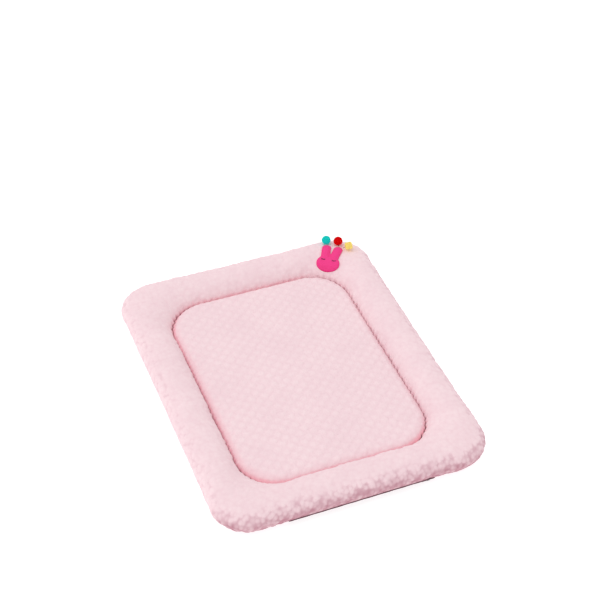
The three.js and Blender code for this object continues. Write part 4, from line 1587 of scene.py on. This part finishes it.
def add_coil(name, side):
    """One of the zip's two nylon coils: a flattened spiral of fine wire, sewn along its tape."""
    turns = round(2 * COIL_HALF_LENGTH / COIL_PITCH)
    angle = np.linspace(0, turns * 2 * math.pi, turns * COIL_POINTS + 1)
    x = -COIL_HALF_LENGTH + COIL_WIRE + angle / (2 * math.pi) * (2 * (COIL_HALF_LENGTH - COIL_WIRE) / turns)
    phase = 0 if side > 0 else math.pi
    up = side * (COIL_CENTRE[0] + COIL_HALF[0] * np.cos(angle + phase))
    out = COIL_CENTRE[1] + COIL_HALF[1] * np.sin(angle + phase)
    wire = tube(zip_points(x, up, out), COIL_WIRE, COIL_SIDES)
    coil = make_object(f"{name}_spiral", *wire, FINISHES["zip_coil"])
    finished(coil, "zip_coil", "pad", name)


def add_zip_topstitching():
    """A row of stitches along each side of the zip, through the plush."""
    count = round(2 * SLOT_HALF_LENGTH / TOPSTITCH_PITCH)
    parts = []
    for side in (-1, 1):
        length = SLOT_MIDDLE + side * (SLOT_HALF_WIDTH + TOPSTITCH_AWAY)
        inset, height = along(PROFILE, np.array([length]))[0]
        for index in range(count):
            x = -SLOT_HALF_LENGTH + (index + TOPSTITCH_START) * 2 * SLOT_HALF_LENGTH / count
            start = np.array([x, inset - HALF_LENGTH, height])
            if abs(x - JOIN_X) > 2 * TOPSTITCH_PITCH:
                parts.append(stitch(start, start + [TOPSTITCH_LENGTH, 0, 0], TOPSTITCH_BURY, STITCH_RADIUS))
    stitches = make_object("zip_topstitching", *joined(parts), FINISHES["seam_thread"])
    finished(stitches, "seam_thread", "pad")


def add_zip_piping():
    """The dark rolled edge of the upper tape, standing a little proud of the plush along the zip's lip."""
    length = SLOT_ROWS[1] + PIPING_AWAY
    below, here, above = along(PROFILE, np.array([length - PROFILE_STEP, length, length + PROFILE_STEP]))
    upward = (above - below) / np.linalg.norm(above - below)
    inset = here[0] - PIPING_PROUD * upward[1]
    height = here[1] + PIPING_PROUD * upward[0]
    x = np.linspace(-SLOT_HALF_LENGTH, SLOT_HALF_LENGTH, PIPING_POINTS)
    uneven = PIPING_UNEVEN * waves(x + SLOT_HALF_LENGTH, 2 * SLOT_HALF_LENGTH, WAVE_PITCH, SEED + 3)
    path = np.stack([x, inset - HALF_LENGTH - uneven, np.full_like(x, height)], -1)
    radii = PIPING_RADIUS * np.sqrt(np.clip((SLOT_HALF_LENGTH - np.abs(x)) / PIPING_TAPER, PIPING_LEAST, 1))
    piping = make_object("zip_rolled_edge", *tube(path, radii, PIPING_SIDES), FINISHES["zip_tape"])
    finished(piping, "zip_tape", "pad")


def soften_edges(name):
    """Rounds the edges of one of the zip's metal parts."""
    bevel = frame["nodes"][name].modifiers.new("bevel", "BEVEL")
    bevel.width = BEVEL
    bevel.segments = BEVEL_SEGMENTS
    bevel.limit_method = "ANGLE"
    bevel.angle_limit = BEVEL_ANGLE
    bevel.harden_normals = False


def add_zip():
    """The zip's coils, its stitching, its rolled edge and the softened edges of its metal parts."""
    add_coil("zip_coil_upper", 1)
    add_coil("zip_coil_lower", -1)
    add_zip_topstitching()
    add_zip_piping()
    for name in ("zip_bottom_stop", "zip_top_stop_upper", "zip_top_stop_lower", "zip_slider", "zip_pull"):
        soften_edges(name)


# ------------------------------------------------------------------ the base and the sewn seams

BASE_INSET = 17.4 * MM
GRIP_DOT_PITCH = 18 * MM
GRIP_DOT_RADIUS = 2.6 * MM
GRIP_DOT_HEIGHT = 0.5 * MM
GRIP_DOT_SIDES = 10
GRIP_DOT_SHARES = np.array([[0.35, 0], [0.8, 0.12], [1, 0.55], [1, 1.4]])
GRIP_DOT_SECTION = GRIP_DOT_SHARES * [GRIP_DOT_RADIUS, GRIP_DOT_HEIGHT]
BASE_SPACING = 6 * MM
BINDING_SIDES = 12
BINDING_SPACING = 4 * MM
BINDING_ROUNDNESS = 0.6
WHIP_SPACING = 0.8 * MM
WHIP_SIDES = 5
BINDING_SECTION = np.array([13.9, 16.6, 0.3, 1.7]) * MM
THREAD_SECTION = np.array([82.7, 85.1, 14.3, 15.7]) * MM
WHIP_PITCH = 4.2 * MM
WHIP_RADIUS = 0.32 * MM


def ring_loop(inset, spacing):
    """The plan's closed ring at an inset, at an even spacing, without its last repeated point."""
    turns = np.linspace(0, 1, RING_TURN_COUNT)
    ring = plan_grid(turns, np.array([inset]))[:, 0]
    return evenly(ring, spacing)[:-1]


def add_base():
    """The base cloth, raised a little on its grip dots."""
    ring = ring_loop(BASE_INSET, BASE_SPACING)
    count = len(ring)
    low = np.append(ring, np.full((count, 1), GRIP_DOT_HEIGHT), 1)
    high = np.append(ring, np.full((count, 1), BASE_HIGH), 1)
    faces = [[step, (step + 1) % count, (step + 1) % count + count, step + count] for step in range(count)]
    faces += [list(range(count - 1, -1, -1)), list(range(count, 2 * count))]
    cloth = make_object("base_cloth", np.concatenate([low, high]), faces, FINISHES["base_cloth"])
    finished(cloth, "base_cloth", "pad", "base_panel")


def add_grip_dots():
    """Rows of soft dots under the base cloth, every other row half a step along."""
    dot = turned(*GRIP_DOT_SECTION.T, GRIP_DOT_SIDES)
    faces = grid_faces(len(GRIP_DOT_SECTION), GRIP_DOT_SIDES, closed_rows=True).tolist()
    faces += [list(range(GRIP_DOT_SIDES)), list(range(len(dot) - 1, len(dot) - GRIP_DOT_SIDES - 1, -1))]
    faces = [face[::-1] for face in faces]
    last_row, last_column = round(HALF_LENGTH / GRIP_DOT_PITCH), round(HALF_WIDTH / GRIP_DOT_PITCH)
    parts = []
    for row in range(-last_row, last_row + 1):
        for column in range(-last_column, last_column + 1):
            x, y = (column + 0.5 * (row % 2)) * GRIP_DOT_PITCH, row * GRIP_DOT_PITCH
            if inset_of(x, y) > BASE_INSET + 2 * GRIP_DOT_RADIUS:
                parts.append((dot + [x, y, 0], faces))
    dots = make_object("base_grip_dots", *joined(parts), FINISHES["grip"])
    finished(dots, "base_cloth", "pad")


def squarish(low, high, shares):
    """Places between low and high for shares from -1 to 1 of a circle, drawn out towards a square."""
    return (low + high) / 2 + (high - low) / 2 * np.sign(shares) * np.abs(shares) ** BINDING_ROUNDNESS


def add_binding():
    """The folded tape over the seam between the rim and the base."""
    outer, inner, low, high = BINDING_SECTION
    angles = np.arange(BINDING_SIDES) * 2 * math.pi / BINDING_SIDES
    insets = squarish(outer, inner, np.cos(angles))
    heights = squarish(low, high, np.sin(angles))
    turns = np.interp(np.arange(0, TURN_LENGTHS[-1], BINDING_SPACING), TURN_LENGTHS, TURNS)
    plan = np.stack([plan_grid(turns, np.array([inset]))[:, 0] for inset in insets], 1)
    grid = np.concatenate([plan, np.broadcast_to(heights, plan.shape[:2])[..., None]], -1)
    faces = grid_faces(len(turns), len(angles), closed_columns=True, closed_rows=True).tolist()
    binding = make_object("base_binding_tape", grid.reshape(-1, 3), faces, FINISHES["binding"])
    finished(binding, "binding", "pad", "base_seam_binding")


def add_crease_seam():
    """The whip stitch deep in the crease that holds the mat's cover to the rim's."""
    outer, inner, low, high = THREAD_SECTION
    middle = ring_loop((outer + inner) / 2, WHIP_SPACING)
    place = running_length(middle)
    whole = place[-1] + WHIP_SPACING
    count = round(whole / WHIP_PITCH)
    swing = 2 * math.pi * count * place / whole
    centre_x, centre_y, _ = ring_size((outer + inner) / 2)
    outward = middle - np.clip(middle, [-centre_x, -centre_y], [centre_x, centre_y])
    outward /= np.linalg.norm(outward, axis=1, keepdims=True)
    plan = middle + outward * ((inner - outer) / 2 - WHIP_RADIUS) * np.cos(swing)[:, None]
    height = (low + high) / 2 + ((high - low) / 2 - WHIP_RADIUS) * np.sin(swing)
    path = np.append(plan, height[:, None], 1)
    points, faces = tube(path, WHIP_RADIUS, WHIP_SIDES, closed=True)
    # painted dark shade on the stitch where the crease gapes
    attributes = {"gap_shade": crease_gap(points[:, 0], points[:, 1])}
    seam = make_object("crease_whip_stitch", points, faces, FINISHES["seam_thread"], attributes)
    finished(seam, "seam_thread", "pad", "mat_seam_thread")


# ------------------------------------------------------------------ materials of the CAD nodes

CAD_FINISHES = {
    "rim_cover": "plush",
    "mat_cover": "plush",
    "rim_filling_case": "lining",
    "rim_filling": "fibre",
    "base_panel": "base_cloth",
    "base_seam_binding": "binding",
    "waterproof_liner": "liner_film",
    "mat_foam": "foam",
    "mat_seam_thread": "seam_thread",
    "zip_tape_upper": "zip_tape",
    "zip_tape_lower": "zip_tape",
    "zip_coil_upper": "zip_coil",
    "zip_coil_lower": "zip_coil",
    "zip_bottom_stop": "zip_metal",
    "zip_top_stop_upper": "zip_metal",
    "zip_top_stop_lower": "zip_metal",
    "zip_slider": "zip_metal",
    "zip_pull": "zip_metal",
    "rabbit_back_felt": "pink_felt",
    "rabbit_wadding": "fibre",
    "rabbit_front_felt": "pink_felt",
    "rabbit_left_eye": "eye_thread",
    "rabbit_right_eye": "eye_thread",
    "teal_pompom": "teal_wool",
    "red_pompom": "red_wool",
    "yellow_pompom": "yellow_wool",
    "teal_pompom_thread": "dark_thread",
    "red_pompom_thread": "dark_thread",
    "yellow_pompom_thread": "dark_thread",
}


def finish_cad_nodes():
    """Every CAD node gets the material of the real part."""
    for node_name, slot_name in CAD_FINISHES.items():
        cad_mesh = frame["nodes"][node_name].data
        cad_mesh.materials.clear()
        cad_mesh.materials.append(FINISHES[slot_name])


# ------------------------------------------------------------------ floor, light and camera

FLOOR_HALF = 40.0
CAMERA_AIM = Vector((0.0888, 0.1968, 0.03))
CAMERA_DISTANCE = 3.1176
CAMERA_AZIMUTH = math.radians(-22.5289)
CAMERA_ELEVATION = math.radians(42.1119)
CAMERA_ROLL = math.radians(1.2127)
CAMERA_LENS = 87.24
SENSOR_WIDTH = 36.0
WORLD_STRENGTH = 0.81
WORLD_COLOUR = (1, 0.995, 0.995, 1)
SUN_TOWARDS = Vector((-0.5, 0.2, 1.0))
SUN_STRENGTH = 0.62
SUN_SPREAD = math.radians(50)


def add_floor():
    """A white floor far wider than the view."""
    corners = [(x * FLOOR_HALF, y * FLOOR_HALF, 0) for x, y in ((-1, -1), (1, -1), (1, 1), (-1, 1))]
    floor = make_object("floor", corners, [[0, 1, 2, 3]], floor_material())


def add_sun():
    """A soft light from far away, high on the left and a little behind."""
    light = bpy.data.lights.new("key", "SUN")
    light.angle = SUN_SPREAD
    light.energy = SUN_STRENGTH
    holder = bpy.data.objects.new("key", light)
    holder.rotation_euler = (-SUN_TOWARDS).to_track_quat("-Z", "Y").to_euler()
    bpy.context.scene.collection.objects.link(holder)


def add_world():
    """An even, nearly white light from all round."""
    world = bpy.data.worlds.new("studio")
    world.use_nodes = True
    background = world.node_tree.nodes["Background"]
    background.inputs["Color"].default_value = WORLD_COLOUR
    background.inputs["Strength"].default_value = WORLD_STRENGTH
    bpy.context.scene.world = world


def add_camera():
    """The camera looks down at the pad from its front left, turned a little about its own axis."""
    sin_a, cos_a = math.sin(CAMERA_AZIMUTH), math.cos(CAMERA_AZIMUTH)
    sin_e, cos_e = math.sin(CAMERA_ELEVATION), math.cos(CAMERA_ELEVATION)
    back = Vector((sin_a * cos_e, -cos_a * cos_e, sin_e))
    level = Vector((cos_a, sin_a, 0))
    right = Matrix.Rotation(CAMERA_ROLL, 3, back) @ level
    up = back.cross(right)
    settings = bpy.data.cameras.new("camera")
    settings.lens = CAMERA_LENS
    settings.sensor_width = SENSOR_WIDTH
    camera = bpy.data.objects.new("camera", settings)
    turned_axes = Matrix((right, up, back)).transposed().to_4x4()
    camera.matrix_world = Matrix.Translation(CAMERA_AIM + CAMERA_DISTANCE * back) @ turned_axes
    bpy.context.scene.collection.objects.link(camera)
    bpy.context.scene.camera = camera


# ------------------------------------------------------------------ everything, in its order

add_rim()
add_mat()
add_rabbit()
for pompom_name in POMPOM_NAMES:
    add_pompom(pompom_name)
add_zip()
add_base()
add_grip_dots()
add_binding()
add_crease_seam()
finish_cad_nodes()
add_floor()
add_world()
add_sun()
add_camera()
bpy.context.scene.view_settings.view_transform = "Standard"
